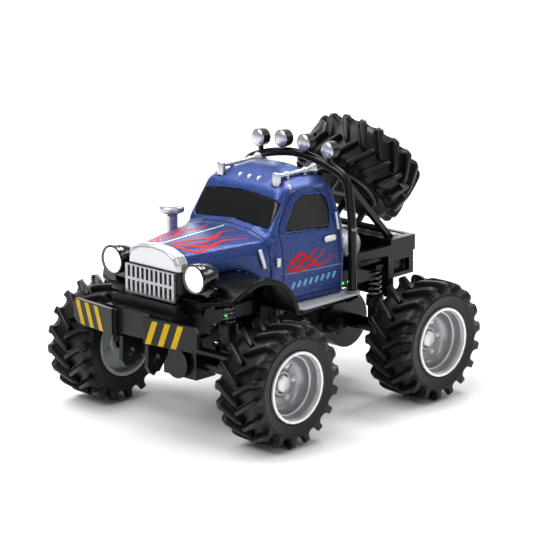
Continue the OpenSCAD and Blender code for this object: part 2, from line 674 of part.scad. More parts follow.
// Room in the roof for a horn's block, rings and flared end.
module horn_seat() {
    box(horn_x - 3.2 - seat_gap, horn_x + 3.2 + seat_gap, -22.4 - seat_gap, -18.8 + seat_gap, 169.8 - seat_gap, 182);
    translate([horn_x, -20, horn_z]) rotate([-90, 0, 0]) cylinder(h = 40, r = 1.5 + seat_gap, $fn = 32);
    for (y = [-11, 8]) translate([horn_x, y - seat_gap, horn_z]) rotate([-90, 0, 0])
        cylinder(h = 4 + 2 * seat_gap, r = 2.4 + seat_gap, $fn = 32);
    translate([horn_x, 13 - seat_gap, horn_z]) rotate([-90, 0, 0]) cylinder(h = 7, r = 4 + seat_gap, $fn = 32);
}

// Room beside the hood for the stack's foot and stem.
module stack_seat() {
    translate([-45, -57, 126 - seat_gap]) cylinder(h = 2 + 2 * seat_gap, r = 6 + seat_gap, $fn = 48);
    translate([-45, -57, 127]) cylinder(h = 30, r = 4.4 + seat_gap, $fn = 48);
}

// A pane: the part of the shell's middle layer that fills an opening.
pane_gap = 0.15;
module pane(front_inset, back_inset) {
    difference() { cab_form(front_inset); cab_form(back_inset); }
}

module windshield() {
    color(glass) intersection() { pane_roof(0.8, 2); windshield_hole(-pane_gap); }
}
module side_windows() {
    color(glass) intersection() { pane_roof(0.9, 2); side_window_hole(-pane_gap); }
}
module rear_window() {
    color(glass) intersection() { pane_roof(0.8, 2); rear_window_hole(-pane_gap); }
}
module pane_roof(front_inset, back_inset) {
    difference() {
        union() { roof_form(front_inset); lower_form(front_inset); }
        roof_form(back_inset);
        lower_form(back_inset);
    }
}

// ---- nose, lamps and fenders ----

grille_y = -124.6;              // front face of the grille
grille_w = 50.4;
grille_z0 = 101;
grille_z1 = 122.8;
slot_cols = 10;

module grille() {
    pitch = (grille_w - 3) / slot_cols;
    color(silver) difference() {
        union() {
            mid_box(grille_w, grille_y, grille_y + 2, grille_z0, grille_z1);
            mid_box(grille_w - 6, grille_y + 1.5, grille_y + 9, grille_z0 + 1, grille_z0 + 3);
        }
        for (i = [0:slot_cols - 1]) for (z = [grille_z0 + 1.6, grille_z0 + 12.4])
            translate([(i - slot_cols / 2 + 0.5) * pitch - 1.3, grille_y - 1, z]) cube([2.6, 4, 8.6]);
    }
}

// Outline of the nose in (X, Z), half width w and crown height c.
function nose_half(w, c) = let (half = [[w, 106], [w, c - 11], [w - 3.5, c - 5.5], [w * 0.55, c - 1.6], [0, c]])
    concat(half, mirrored(half));

// Bright shell between the grille and the hood, with its sides down behind the headlights.
module nose_cap() {
    color(silver) difference() {
        hull() {
            translate([0, -120.4, 0]) rotate([90, 0, 0]) linear_extrude(1)
                polygon(nose_half(23.8, 138.2));
            translate([0, -117.4, 0]) rotate([90, 0, 0]) linear_extrude(1)
                polygon(nose_half(27, 140.2));
            translate([0, -113.2, 0]) rotate([90, 0, 0]) linear_extrude(0.5)
                polygon(nose_half(28.5, 140));
        }
        mid_box(41, grille_y - 2, -115.5, 100, 121);
    }
}

lamp_x = 42.4;
lamp_y = -121.2;                // front face of a headlight's lens
lamp_z = 121.3;
lens_r = 9.2;

// Bullet-shaped lamp body about Z, its open mouth towards +Z.
module pod_shape() {
    wall = 1.4;
    outer = [[0, -22], [5, -20.5], [8.5, -16], [10.4, -10], [11.2, -4], [11.2, 0.6], [10, 1]];
    inner = [[lens_r + 0.1, 1], [lens_r + 0.1, -4], [8.5, -9], [5, -17], [0, -19]];
    rotate_extrude($fn = 64) polygon(concat(outer, inner));
}

module headlight_pod(side) {
    on_side(side) color("#333436") union() {
        translate([lamp_x, lamp_y, lamp_z]) along_front() pod_shape();
        difference() {
            box(lamp_x - 9, lamp_x + 7, lamp_y + 3, lamp_y + 17, shelf_z + 0.05, lamp_z - 8.5);
            translate([0, arch_y, arch_z]) along_x() cylinder(h = far, r = arch_r + 0.05, $fn = 96);
            // slope of the shelf under the stem
            side_profile(0, far, [[-130, shelf_z - 5], [-130, shelf_z + 0.05], [-118, shelf_z + 0.05],
                [-107, shelf_z + 2.5], [-104, shelf_z + 6], [-104, shelf_z - 5]]);
            // cup of the lamp body
            translate([lamp_x, lamp_y, lamp_z]) along_front() translate([0, 0, -16]) cylinder(h = 20, r = 9, $fn = 64);
        }
    }
}
module headlight_pod_left() { headlight_pod(1); }
module headlight_pod_right() { headlight_pod(-1); }

module headlight_lens(side) {
    dome = [for (i = [0:8]) let (a = i * 90 / 8) [lens_r * sin(a), 1.4 * cos(a)]];
    on_side(side) color(clear_white) translate([lamp_x, lamp_y, lamp_z]) along_front()
        rotate_extrude($fn = 64) polygon(concat(dome, [[lens_r, -2], [0, -2]]));
}
module headlight_lens_left() { headlight_lens(1); }
module headlight_lens_right() { headlight_lens(-1); }

fender_x0 = 26;
fender_x1 = 71;
fender_t = 2.2;
shelf_z = 105;                  // top of the shelf under the headlight

// Outline of a fender's arch in (Y, Z), from the headlight shelf over the wheel to the sill.
function fender_outline() = concat(
    [[-128, shelf_z - 3], [-128, shelf_z - 0.3], [-118, shelf_z]],
    arc(arch_y, arch_z, arch_r, 133, 10, 24),
    arc(arch_y, arch_z, arch_r - fender_t, 10, 136, 24),
    [[-118, shelf_z - fender_t - 0.6]]);

module fender(side) {
    on_side(side) color(black) difference() {
        union() {
            side_profile(fender_x0, fender_x1, fender_outline());
            // rolled outer edge
            side_profile(fender_x1 - 2.5, fender_x1, concat(
                [[-128, shelf_z - 6], [-128, shelf_z - 0.3], [-118, shelf_z]],
                arc(arch_y, arch_z, arch_r, 133, 10, 24),
                arc(arch_y, arch_z, arch_r - 4.4, 10, 140, 24), [[-118, shelf_z - 6]]));
            // inner panel down to the frame
            box(fender_x0, fender_x0 + 2, -112, -60, 99, shelf_z + 1);
        }
        // outer front corner is cut back
        translate([0, 0, 80]) linear_extrude(60) polygon([[74, -96], [71, -96], [68.5, -106], [61, -114], [50, -119],
            [24, -119.5], [24, -140], [74, -140]]);
        // room for the spring tower
        box(0, spring_x + 9, front_y - 8, front_y + 8, 90, tower_z + 4.4);
    }
}
module fender_left() { fender(1); }
module fender_right() { fender(-1); }

board_z1 = 84.6;                // top of a running board
board_x = 62;                   // its outer edge
module running_board(side) {
    on_side(side) color("#8d8f93") union() {
        box(44, board_x - 5, -31, 40, arm_z0 + 3.25, board_z1);
        box(44, board_x, -26, 35, arm_z0 + 3.25, board_z1);
        for (y = [-26, 35]) translate([board_x - 5, y, arm_z0 + 3.25]) cylinder(h = board_z1 - arm_z0 - 3.25, r = 5, $fn = 48);
    }
}
module running_board_left() { running_board(1); }
module running_board_right() { running_board(-1); }

// ---- bumper ----

bumper_in = [16.5, -147.3];     // front inner corner of a side plate (X, Y)
bumper_out = [61.6, -141];      // front outer corner
bumper_z0 = 74.4;
bumper_z1 = 92.8;
bumper_t = 3;

// Angled side plate with cut corners at its outer end.
module bumper_plate() {
    length = norm(bumper_out - bumper_in);
    translate([bumper_in[0], bumper_in[1], bumper_z0]) rotate(bumper_turn) rotate([90, 0, 0])
        translate([0, 0, -bumper_t]) linear_extrude(bumper_t) polygon([[0, 0], [length - 3, 0], [length + 2.6, 4],
            [length + 2.6, 14.5], [length, bumper_z1 - bumper_z0], [0, bumper_z1 - bumper_z0 + 1]]);
}
bumper_turn = atan((bumper_out[1] - bumper_in[1]) / (bumper_out[0] - bumper_in[0]));

module front_bumper() {
    color(black) union() {
        mid_box(34, -141.5, -138.5, bumper_z0 + 1, bumper_z1 + 2.2);
        both_sides() {
            bumper_plate();
            // returns from the side plates to the middle section
            translate([0, 0, bumper_z0]) linear_extrude(bumper_z1 - bumper_z0)
                polygon([[15, -145], [19, -145.5], [19, -138.5], [15, -138.5]]);
            // arms back to the frame rails
            box(rail_x + 0.5, rail_x + rail_t, -138.6, -112, rail_z1 + 0.05, rail_z1 + 4);
            box(rail_x + 0.5, rail_x + rail_t, -139, -136.1, rail_z0 + 2, rail_z1 + 4);
        }
        // step behind the bumper, under the grille
        mid_box(66, -137, -119, rail_z1 + 4, rail_z1 + 7);
        mid_box(66, -131, -127, rail_z1 + 6.5, 100.4);
    }
}

stripe_t = 0.3;
module bumper_stripes() {
    // the inner stripe starts nearer the middle on the left than on the right
    color(yellow) for (side = [1, -1]) on_side(side)
        translate([bumper_in[0], bumper_in[1], bumper_z0]) rotate(bumper_turn)
            for (i = [0:2]) let (x = (side > 0 ? 1.5 : 10.5) + i * 11.5) rotate([90, 0, 0]) linear_extrude(stripe_t)
                polygon([[x, 0.4], [x + 4.9, 0.4], [x + 11.6, 17.9], [x + 6.7, 17.9]]);
}

// Tow brackets under the bumper: a plate with a round eye on each side.
eye_r = 3.2;
module tow_brackets() {
    color(black) both_sides() difference() {
        union() {
            side_profile(11.5, 15, [[-138.3, rail_z0 + 1.95], [-118, rail_z0 + 1.95], [-122, 60], [-130, 50],
                [-139, 50], [-142, 55], [-141, 73], [-138.3, 74.2]]);
            box(8, 15, -136, -130, rail_z0, rail_z0 + 1.95);
        }
        translate([0, -133, 60]) along_x() cylinder(h = 40, r = eye_r, $fn = 48);
    }
}

// ---- bright trim on the body ----

module intake_stack() {
    color(silver) translate([-45, -57, 0]) union() {
        translate([0, 0, 127.5]) cylinder(h = 17.5, r = 4.4, $fn = 48);
        translate([0, 0, 144]) cylinder(h = 2.5, r1 = 4.4, r2 = 9.6, $fn = 48);
        translate([0, 0, 146.4]) cylinder(h = 3.4, r = 9.6, $fn = 48);
        translate([0, 0, 149.7]) cylinder(h = 1.6, r1 = 9.6, r2 = 6, $fn = 48);
        translate([0, 0, 126]) cylinder(h = 2, r = 6, $fn = 48);
    }
}

horn_z = 177.6;                 // height of a roof horn's rod
horn_x = 28.5;                  // and its distance from the middle plane
// Horn on the roof: a flat front block, a rod and a flared rear end.
module air_horn(side) {
    on_side(side) color(silver) translate([horn_x, 0, 0]) union() {
        box(-3.2, 3.2, -22.4, -18.8, 169.8, 180.4);
        translate([0, -19.2, horn_z]) rotate([-90, 0, 0]) cylinder(h = 38.7, r = 1.5, $fn = 32);
        translate([0, -11, horn_z]) rotate([-90, 0, 0]) cylinder(h = 3, r = 2.2, $fn = 32);
        translate([0, 8, horn_z]) rotate([-90, 0, 0]) cylinder(h = 4, r = 2.4, $fn = 32);
        translate([0, 13, horn_z]) rotate([-90, 0, 0]) cylinder(h = 6.5, r1 = 2, r2 = 4, $fn = 32);
    }
}
module air_horn_left() { air_horn(1); }
module air_horn_right() { air_horn(-1); }

// Door handles, vent bars and the bars on the cab's rear corners.
module cab_trim() {
    color(silver) for (side = [1, -1]) on_side(side) {
        box(50.2, 52.4, 8, 18, 127, 130);
        // the right-hand vent bar ends below the stack
        translate([44.3, -52, 116.5]) rotate([16, 0, -13]) cube([1.2, 2.6, side > 0 ? 14 : 8]);
        box(48, 49.2, -41.5, -38, 116, 122.5);
        box(50.4, 51.4, 27.5, 30, 131, 137);
    }
}

// ---- roll hoop, roof lamps, bed and tank ----

hoop_y0 = 27.6;
hoop_y1 = 34;
hoop_bar = 6.4;
hoop_top = 187.6;

// Half outline of the hoop in (X, Z): post, shoulder and arched top, moved inwards by i.
function hoop_half(i) = concat(
    [[hoop_w / 2 - i, board_z1], [hoop_w / 2 - i, 138], [56.5 - i, 163 - i * 0.1]],
    arc(44, 163.5, 12.2 - i * 0.75, 12, 78, 6),
    [[24, hoop_top - 3.6 - i], [0, hoop_top - i]]);

module roll_hoop() {
    outer = hoop_half(0);
    inner = hoop_half(hoop_bar);
    color(black) union() {
        translate([0, hoop_y1, 0]) rotate([90, 0, 0]) linear_extrude(hoop_y1 - hoop_y0)
            polygon(concat(outer, mirrored(outer), [for (i = [0:len(inner) - 1]) [-inner[i][0], inner[i][1]]], mirrored([for (i = [0:len(inner) - 1]) [-inner[i][0], inner[i][1]]])));
        both_sides() translate([57, 30.8, board_z1]) cylinder(h = 1.6, r = 4.8, $fn = 48);
    }
}

// Places of the roof lamps in (X, Z), each with the height of its foot.
roof_lamps = [[35.6, 190.6, 180.4], [11.7, 193.1, 186.3]];
roof_lamp_r = 6.5;
roof_lamp_y = 26.2;             // front face of the roof lamps

module roof_lamp_housings() {
    cup = [[0, -8.6], [4.4, -8], [6.2, -6], [6.9, -2], [6.9, 0.4], [6.3, 0.4], [6.3, -2], [0, -2.6]];
    color(black) both_sides() for (p = roof_lamps) union() {
        translate([p[0], roof_lamp_y, p[1]]) along_front() rotate_extrude($fn = 48) polygon(cup);
        box(p[0] - 1.6, p[0] + 1.6, roof_lamp_y + 2.2, roof_lamp_y + 5, p[2], p[1] - 4);
    }
}

module roof_lamp_lenses() {
    lens = [[0, 1.5], [3.2, 1.2], [5.2, 0.6], [6.2, -0.2], [6.2, -1.9], [0, -2.4]];
    color(clear_white) both_sides() for (p = roof_lamps)
        translate([p[0], roof_lamp_y, p[1]]) along_front() rotate_extrude($fn = 48) polygon(lens);
}

bed_y0 = 35;
bed_y1 = 111;
bed_w = 100;
module cargo_bed() {
    color(dark) difference() {
        union() {
            both_sides() {
                side_profile(bed_w / 2 - 5, bed_w / 2, [[bed_y0, 99], [42, 99], [50, 104], [84, 102], [84, 110], [bed_y0, 110]]);
                side_profile(bed_w / 2 - 4, bed_w / 2, [[80, 84], [bed_y1 - 2, 84], [bed_y1 - 2, 103], [80, 103]]);
            }
            mid_box(bed_w - 9, bed_y0, bed_y1 - 2, 98, 101);
            mid_box(bed_w, 83, bed_y1, 102, 114);
            both_sides() box(rail_x, rail_x + rail_t, 58, 104, rail_z1 + 0.05, 98.5);
        }
        // window in the side brackets, well in the tail box
        mid_box(bed_w + 2, 86, bed_y1 - 7, 87, 97);
        mid_box(bed_w - 12, 87, bed_y1 - 4, 106, 115);
        // room for the spring tower
        mid_box(2 * spring_x + 16, rear_y - 8, rear_y + 8, 84, 97.9);
    }
}

module fuel_tank() {
    color(silver) union() {
        translate([-34, 57, 112]) along_x() cylinder(h = 68, r = 10.5, $fn = 64);
        for (x = [-30, -20, -10, 0, 10, 20, 30]) translate([x - 1.5, 57, 112]) along_x() cylinder(h = 3, r = 11, $fn = 64);
        for (x = [-22, 18]) box(x, x + 4, 50, 64, 101, 106);
    }
}

chassis_frame();
cab_shell();
windshield();
side_windows();
rear_window();
nose_cap();
grille();
headlight_pod_left();
headlight_pod_right();
headlight_lens_left();
headlight_lens_right();
fender_left();
fender_right();
running_board_left();
running_board_right();
front_bumper();
bumper_stripes();
tow_brackets();
intake_stack();
air_horn_left();
air_horn_right();
cab_trim();
roll_hoop();
roof_lamp_housings();
roof_lamp_lenses();
cargo_bed();
spare_rack();
spare_tyre();
spare_rim();
fuel_tank();
battery_pack();
receiver_board();
body_screws();
battery_door();
power_switch();
front_link();
front_axle_housing();
steering_servo();
servo_horn();
tie_rod();
knuckle_left();
knuckle_right();
front_left_tyre();
front_left_rim();
front_right_tyre();
front_right_rim();
rear_link();
rear_axle_housing();
drive_motor();
motor_pinion();
rear_axle_shaft();
rear_left_tyre();
rear_left_rim();
rear_right_tyre();
rear_right_rim();
spring_front_left();
spring_front_right();
spring_rear_left();
spring_rear_right();
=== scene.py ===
"""Looks of the toy monster truck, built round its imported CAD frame.

Points are in millimetres while a shape is made and in metres once it is a mesh.
+X is the truck's left side, -Y its front, +Z up.
"""
import math

import bmesh
import bpy
import numpy as np
from mathutils import Matrix, Vector
from mathutils.bvhtree import BVHTree


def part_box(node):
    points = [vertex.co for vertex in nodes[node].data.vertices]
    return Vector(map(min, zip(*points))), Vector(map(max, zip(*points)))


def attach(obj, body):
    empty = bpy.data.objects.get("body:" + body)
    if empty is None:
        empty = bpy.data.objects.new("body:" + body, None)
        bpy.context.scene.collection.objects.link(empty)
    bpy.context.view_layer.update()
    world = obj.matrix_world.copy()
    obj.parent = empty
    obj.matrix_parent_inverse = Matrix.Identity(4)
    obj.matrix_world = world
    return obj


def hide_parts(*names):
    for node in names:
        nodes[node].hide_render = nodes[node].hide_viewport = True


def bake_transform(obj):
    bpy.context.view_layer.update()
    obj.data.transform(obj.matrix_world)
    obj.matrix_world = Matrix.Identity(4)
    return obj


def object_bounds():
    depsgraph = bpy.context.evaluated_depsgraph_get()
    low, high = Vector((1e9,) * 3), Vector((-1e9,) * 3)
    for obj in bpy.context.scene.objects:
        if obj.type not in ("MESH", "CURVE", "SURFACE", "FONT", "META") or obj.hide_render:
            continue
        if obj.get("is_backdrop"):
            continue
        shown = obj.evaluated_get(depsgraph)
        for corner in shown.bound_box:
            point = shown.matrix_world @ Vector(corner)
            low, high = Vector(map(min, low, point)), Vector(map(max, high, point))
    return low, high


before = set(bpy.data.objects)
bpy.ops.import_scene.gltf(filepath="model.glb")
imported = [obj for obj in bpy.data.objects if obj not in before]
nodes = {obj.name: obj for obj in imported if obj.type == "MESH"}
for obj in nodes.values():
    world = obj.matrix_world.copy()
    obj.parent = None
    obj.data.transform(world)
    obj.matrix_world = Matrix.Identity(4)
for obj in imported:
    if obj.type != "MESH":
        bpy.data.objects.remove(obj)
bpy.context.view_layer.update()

MM = 0.001
SIDES = (("left", 1), ("right", -1))


# ---------------------------------------------------------------- shapes

def corner(node):
    """Lowest and highest corners of a CAD node in millimetres."""
    low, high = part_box(node)
    return Vector(low) / MM, Vector(high) / MM


def lathe(profile, sides=64, closed=False):
    """Turns (radius, height) points about Z. A radius of 0 makes a pole."""
    points, rings = [], []
    for r, z in profile:
        if r < 1e-6:
            rings.append([len(points)])
            points.append((0.0, 0.0, z))
            continue
        rings.append(list(range(len(points), len(points) + sides)))
        for k in range(sides):
            a = 2 * math.pi * k / sides
            points.append((r * math.cos(a), r * math.sin(a), z))
    faces = []
    spans = list(zip(rings, rings[1:]))
    if closed:
        spans.append((rings[-1], rings[0]))
    for low, high in spans:
        for k in range(sides):
            n = (k + 1) % sides
            if len(low) == 1 and len(high) > 1:
                faces.append((low[0], high[k], high[n]))
            elif len(high) == 1 and len(low) > 1:
                faces.append((low[k], low[n], high[0]))
            elif len(low) > 1:
                faces.append((low[k], low[n], high[n], high[k]))
    return points, faces


def rounded(points, radius, steps=4, closed=True):
    """Rounds the corners of a 2-D or 3-D line. radius is one number or one per point."""
    pts = [np.array(p, float) for p in points]
    count, out = len(pts), []
    for i, p in enumerate(pts):
        r = radius[i] if hasattr(radius, "__len__") else radius
        if (not closed and i in (0, count - 1)) or r <= 0:
            out.append(tuple(p))
            continue
        a, b = pts[i - 1] - p, pts[(i + 1) % count] - p
        la, lb = np.linalg.norm(a), np.linalg.norm(b)
        reach = min(r, 0.48 * la, 0.48 * lb)
        pa, pb = p + a / la * reach, p + b / lb * reach
        for k in range(steps + 1):
            t = k / steps
            out.append(tuple((1 - t) ** 2 * pa + 2 * t * (1 - t) * p + t * t * pb))
    return out


def spline(points, per_span):
    """Smooth line through the points (Catmull-Rom)."""
    pts = [np.array(p, float) for p in points]
    pts = [2 * pts[0] - pts[1]] + pts + [2 * pts[-1] - pts[-2]]
    out = []
    for p0, p1, p2, p3 in zip(pts, pts[1:], pts[2:], pts[3:]):
        for k in range(per_span):
            t = k / per_span
            out.append(0.5 * (2 * p1 + (p2 - p0) * t + (2 * p0 - 5 * p1 + 4 * p2 - p3) * t * t
                              + (3 * p1 - p0 - 3 * p2 + p3) * t ** 3))
    return [tuple(p) for p in out + [pts[-2]]]


def banded(count, wide):
    """Faces over count rings of points that lie one after another, with a cap at each end."""
    faces = []
    for i in range(count - 1):
        for k in range(wide):
            a, b = i * wide + k, i * wide + (k + 1) % wide
            faces.append((a, b, b + wide, a + wide))
    return faces + [tuple(range(wide)), tuple(range((count - 1) * wide, count * wide))]


def tube(path, radius, sides):
    """Round bar along a 3-D path. radius is a number or one per point."""
    p = np.array(path, float)
    n = len(p)
    r = np.full(n, float(radius)) if np.isscalar(radius) else np.array(radius, float)
    t = np.gradient(p, axis=0)
    t /= np.linalg.norm(t, axis=1)[:, None]
    up = np.array([0, 0, 1.0]) if abs(t[0][2]) < 0.9 else np.array([0, 1.0, 0])
    u = np.cross(t[0], up)
    u /= np.linalg.norm(u)
    points = []
    for i in range(n):
        u = u - t[i] * (u @ t[i])
        u /= np.linalg.norm(u)
        v = np.cross(t[i], u)
        for k in range(sides):
            a = 2 * math.pi * k / sides
            points.append(tuple(p[i] + r[i] * (math.cos(a) * u + math.sin(a) * v)))
    return points, banded(n, sides)


def prism(outline, z0, z1):
    """Upright block over a 2-D outline."""
    n = len(outline)
    points = [(x, y, z0) for x, y in outline] + [(x, y, z1) for x, y in outline]
    faces = [tuple(range(n)), tuple(range(n, 2 * n))]
    faces += [(k, (k + 1) % n, n + (k + 1) % n, n + k) for k in range(n)]
    return points, faces


def bevelled(form, width, segments=2, angle=30):
    """The same closed form with its sharp edges rounded."""
    bm = bmesh.new()
    verts = [bm.verts.new(p) for p in form[0]]
    for f in form[1]:
        bm.faces.new([verts[i] for i in f])
    bmesh.ops.recalc_face_normals(bm, faces=bm.faces)
    edges = [e for e in bm.edges
             if len(e.link_faces) == 2 and e.calc_face_angle(0) > math.radians(angle)]
    bmesh.ops.bevel(bm, geom=edges, offset=width, segments=segments, profile=0.5,
                    affect="EDGES", clamp_overlap=True)
    bm.verts.index_update()
    out = [tuple(v.co) for v in bm.verts], [tuple(v.index for v in f.verts) for f in bm.faces]
    bm.free()
    return out


def block(x0, x1, y0, y1, z0, z1, soft=0.4):
    """Box with rounded edges."""
    form = prism([(x0, y0), (x1, y0), (x1, y1), (x0, y1)], z0, z1)
    return bevelled(form, soft) if soft else form


def moved(form, matrix):
    """The form turned, scaled or shifted by a matrix."""
    return [tuple(matrix @ Vector(p)) for p in form[0]], form[1]


def shifted(form, x=0, y=0, z=0):
    """The form moved along the axes."""
    return [(p[0] + x, p[1] + y, p[2] + z) for p in form[0]], form[1]


def mirrored(form):
    """The form on the truck's other side."""
    return [(-p[0], p[1], p[2]) for p in form[0]], [tuple(reversed(f)) for f in form[1]]


def joined(*forms):
    """Several forms as one."""
    points, faces = [], []
    for form in forms:
        base = len(points)
        points += list(form[0])
        faces += [tuple(i + base for i in f) for f in form[1]]
    return points, faces


def at(x, y, z):
    """Matrix that shifts a form to a point."""
    return Matrix.Translation((x, y, z))


def turned(degrees, axis):
    """Matrix that turns a form about an axis."""
    return Matrix.Rotation(math.radians(degrees), 4, axis)


def on_side(form, side):
    """A form made for the left side, mirrored where side is -1."""
    return form if side > 0 else mirrored(form)


ALONG_X = turned(90, "Y")  # Z turns to +X
ALONG_FRONT = turned(90, "X")  # Z turns to -Y
ALONG_BACK = turned(-90, "X")  # Z turns to +Y


def add_object(name, data):
    """New object in the scene."""
    obj = bpy.data.objects.new(name, data)
    bpy.context.scene.collection.objects.link(obj)
    return obj


def piece(name, form, material, body, replaces=(), sharp=35):
    """Makes a mesh object from a form in millimetres and hangs it on its body."""
    mesh = bpy.data.meshes.new(name)
    points = [tuple(c * MM for c in p) for p in form[0]]
    mesh.from_pydata(points, [], [list(f) for f in form[1]])
    bm = bmesh.new()
    bm.from_mesh(mesh)
    bmesh.ops.recalc_face_normals(bm, faces=bm.faces)
    bm.to_mesh(mesh)
    bm.free()
    return finish_piece(add_object(name, mesh), material, body, replaces, sharp)


def finish_piece(obj, material, body, replaces=(), sharp=35):
    """Shades a mesh object, gives it its material and hangs it on its body."""
    obj.data.shade_smooth()
    if sharp:
        obj.data.set_sharp_from_angle(angle=math.radians(sharp))
    obj.data.materials.clear()
    obj.data.materials.append(material)
    if body:
        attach(obj, body)
    if replaces:
        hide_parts(*replaces)
    return obj


MAX_FACES = 190000      # triangles in one piece


def baked(obj):
    """The object's mesh with its modifiers applied."""
    bpy.context.view_layer.update()
    graph = bpy.context.evaluated_depsgraph_get()
    return bpy.data.meshes.new_from_object(obj.evaluated_get(graph))


def skin(name, node, voxel, smoothing, softer=None, extra=0):
    """A soft-edged copy of a CAD node: voxel remesh, then smoothing. Not yet on a body.

    softer(point in mm) gives 0 to 1, how much of the extra smoothing a point takes.
    """
    work = add_object(name + "_work", nodes[node].data.copy())
    remesh = work.modifiers.new("remesh", "REMESH")
    remesh.mode = "VOXEL"
    remesh.voxel_size = voxel * MM
    smooth = work.modifiers.new("smooth", "SMOOTH")
    smooth.factor = 0.5
    smooth.iterations = smoothing
    mesh = baked(work)
    if softer:
        work.modifiers.clear()
        work.data = mesh
        group = work.vertex_groups.new(name="softer")
        for v in mesh.vertices:
            weight = softer(v.co / MM)
            if weight > 0:
                group.add([v.index], weight, "REPLACE")
        more = work.modifiers.new("more", "SMOOTH")
        more.factor = 0.5
        more.iterations = extra
        more.vertex_group = "softer"
        mesh = baked(work)
    faces = sum(len(p.vertices) - 2 for p in mesh.polygons)
    if faces > MAX_FACES:
        work.modifiers.clear()
        work.data = mesh
        thin = work.modifiers.new("thin", "DECIMATE")
        thin.ratio = MAX_FACES / faces
        mesh = baked(work)
    bpy.data.objects.remove(work)
    mesh.name = name
    return add_object(name, mesh)


# ---------------------------------------------------------------- materials

def linear(hex_colour):
    """Linear red, green and blue of an sRGB hex colour."""
    out = []
    for k in (0, 2, 4):
        c = int(hex_colour[k:k + 2], 16) / 255
        out.append(c / 12.92 if c <= 0.04045 else ((c + 0.055) / 1.055) ** 2.4)
    return out


FLAKES_PER_METRE = 1500
BUMP_HEIGHT = 0.0004


def put(node, **values):
    """Sets inputs of a shader node. An underscore stands for a space."""
    for key, value in values.items():
        node.inputs[key.replace("_", " ")].default_value = value
    return node


def material(name, colour, rough=(0.3, 0.45), metallic=0.0, coat=0.0, coat_rough=0.08, tint=0.12,
             mottle=45, grain=0.06, grain_scale=1600, edge=0.0, flake=0.0, specular=0.5):
    """Moulded or painted surface: mottled colour, grained roughness, fine bump, soft edges."""
    mat = bpy.data.materials.new(name)
    mat.use_nodes = True
    new, link = mat.node_tree.nodes.new, mat.node_tree.links.new
    shader = put(mat.node_tree.nodes["Principled BSDF"], Metallic=metallic, Coat_Weight=coat,
                 Coat_Roughness=coat_rough, Specular_IOR_Level=specular)
    where = new("ShaderNodeTexCoord").outputs["Object"]

    def noise(scale, detail=3.0):
        node = put(new("ShaderNodeTexNoise"), Scale=scale, Detail=detail)
        link(where, node.inputs["Vector"])
        return node.outputs["Fac"]

    base = linear(colour)
    shades = new("ShaderNodeValToRGB")
    dark, light = shades.color_ramp.elements
    dark.position, light.position = 0.3, 0.7
    dark.color = [c * (1 - tint) for c in base] + [1]
    light.color = [min(1, c * (1 + tint)) for c in base] + [1]
    link(noise(mottle), shades.inputs["Fac"])
    colour_out = shades.outputs["Color"]
    if flake:       # brighter spots, one to a cell
        cells = put(new("ShaderNodeTexVoronoi"), Scale=FLAKES_PER_METRE)
        link(where, cells.inputs["Vector"])
        spark = put(new("ShaderNodeMapRange"), From_Min=0.2, From_Max=0.95, To_Min=0.0,
                    To_Max=flake)
        gray = new("ShaderNodeSeparateColor")
        link(cells.outputs["Color"], gray.inputs["Color"])
        link(gray.outputs["Red"], spark.inputs["Value"])
        mix = new("ShaderNodeMix")
        mix.data_type = "RGBA"
        put(mix, B=[min(1, c * 2.6 + 0.03) for c in base] + [1])
        link(spark.outputs["Result"], mix.inputs["Factor"])
        link(colour_out, mix.inputs["A"])
        colour_out = mix.outputs["Result"]
    link(colour_out, shader.inputs["Base Color"])

    span = put(new("ShaderNodeMapRange"), To_Min=rough[0], To_Max=rough[1])
    link(noise(mottle * 4, 4.0), span.inputs["Value"])
    link(span.outputs["Result"], shader.inputs["Roughness"])

    bump = put(new("ShaderNodeBump"), Strength=grain, Distance=BUMP_HEIGHT)
    link(noise(grain_scale, 2.0), bump.inputs["Height"])
    if edge:
        soft = put(new("ShaderNodeBevel"), Radius=edge * MM)
        soft.samples = 4
        link(soft.outputs["Normal"], bump.inputs["Normal"])
    link(bump.outputs["Normal"], shader.inputs["Normal"])
    return mat


def glowing(name, colour, glow, strength):
    """Surface that gives off light of its own."""
    mat = material(name, colour, (0.1, 0.2), tint=0.03, grain=0.02)
    put(mat.node_tree.nodes["Principled BSDF"], Emission_Color=linear(glow) + [1],
        Emission_Strength=strength)
    return mat


paint = material("metallic_blue_paint", "18316c", (0.40, 0.52), metallic=0.66, coat=0.38,
                 coat_rough=0.24, tint=0.08, mottle=30, grain=0.12, grain_scale=2600, flake=0.6)
rubber = material("tyre_rubber", "0b0b0c", (0.34, 0.46), tint=0.18, mottle=80, grain=0.14,
                  grain_scale=1500, specular=0.3)
rim_paint = material("rim_silver", "a3a5a8", (0.28, 0.40), metallic=0.65, tint=0.06, grain=0.06)
rim_bright = material("rim_bolt_metal", "f0f1f2", (0.24, 0.34), metallic=0.3, tint=0.04, grain=0.03)
chrome = material("bright_chrome", "b9bcc2", (0.16, 0.26), metallic=0.95, tint=0.03, grain=0.02)
trim_white = material("bright_trim_white", "eceded", (0.2, 0.3), metallic=0.25, tint=0.03,
                      grain=0.02)
pearl = material("pearl_white_chrome", "d3d5d8", (0.16, 0.26), metallic=0.5, coat=0.5, tint=0.03,
                 grain=0.02)
black = material("black_plastic", "070708", (0.24, 0.38), tint=0.2, grain=0.08, grain_scale=1900,
                 edge=0.35, specular=0.3)
black_soft = material("black_plastic_moulded", "070708", (0.24, 0.36), tint=0.2, grain=0.05,
                      grain_scale=1900, specular=0.28)
satin = material("dark_satin_plastic", "101012", (0.30, 0.44), tint=0.15, grain=0.12,
                 grain_scale=1500, edge=0.35, specular=0.3)
lid_grey = material("grey_satin_plastic", "5a5f6b", (0.26, 0.38), metallic=0.2, coat=0.3, tint=0.12,
                    grain=0.08)
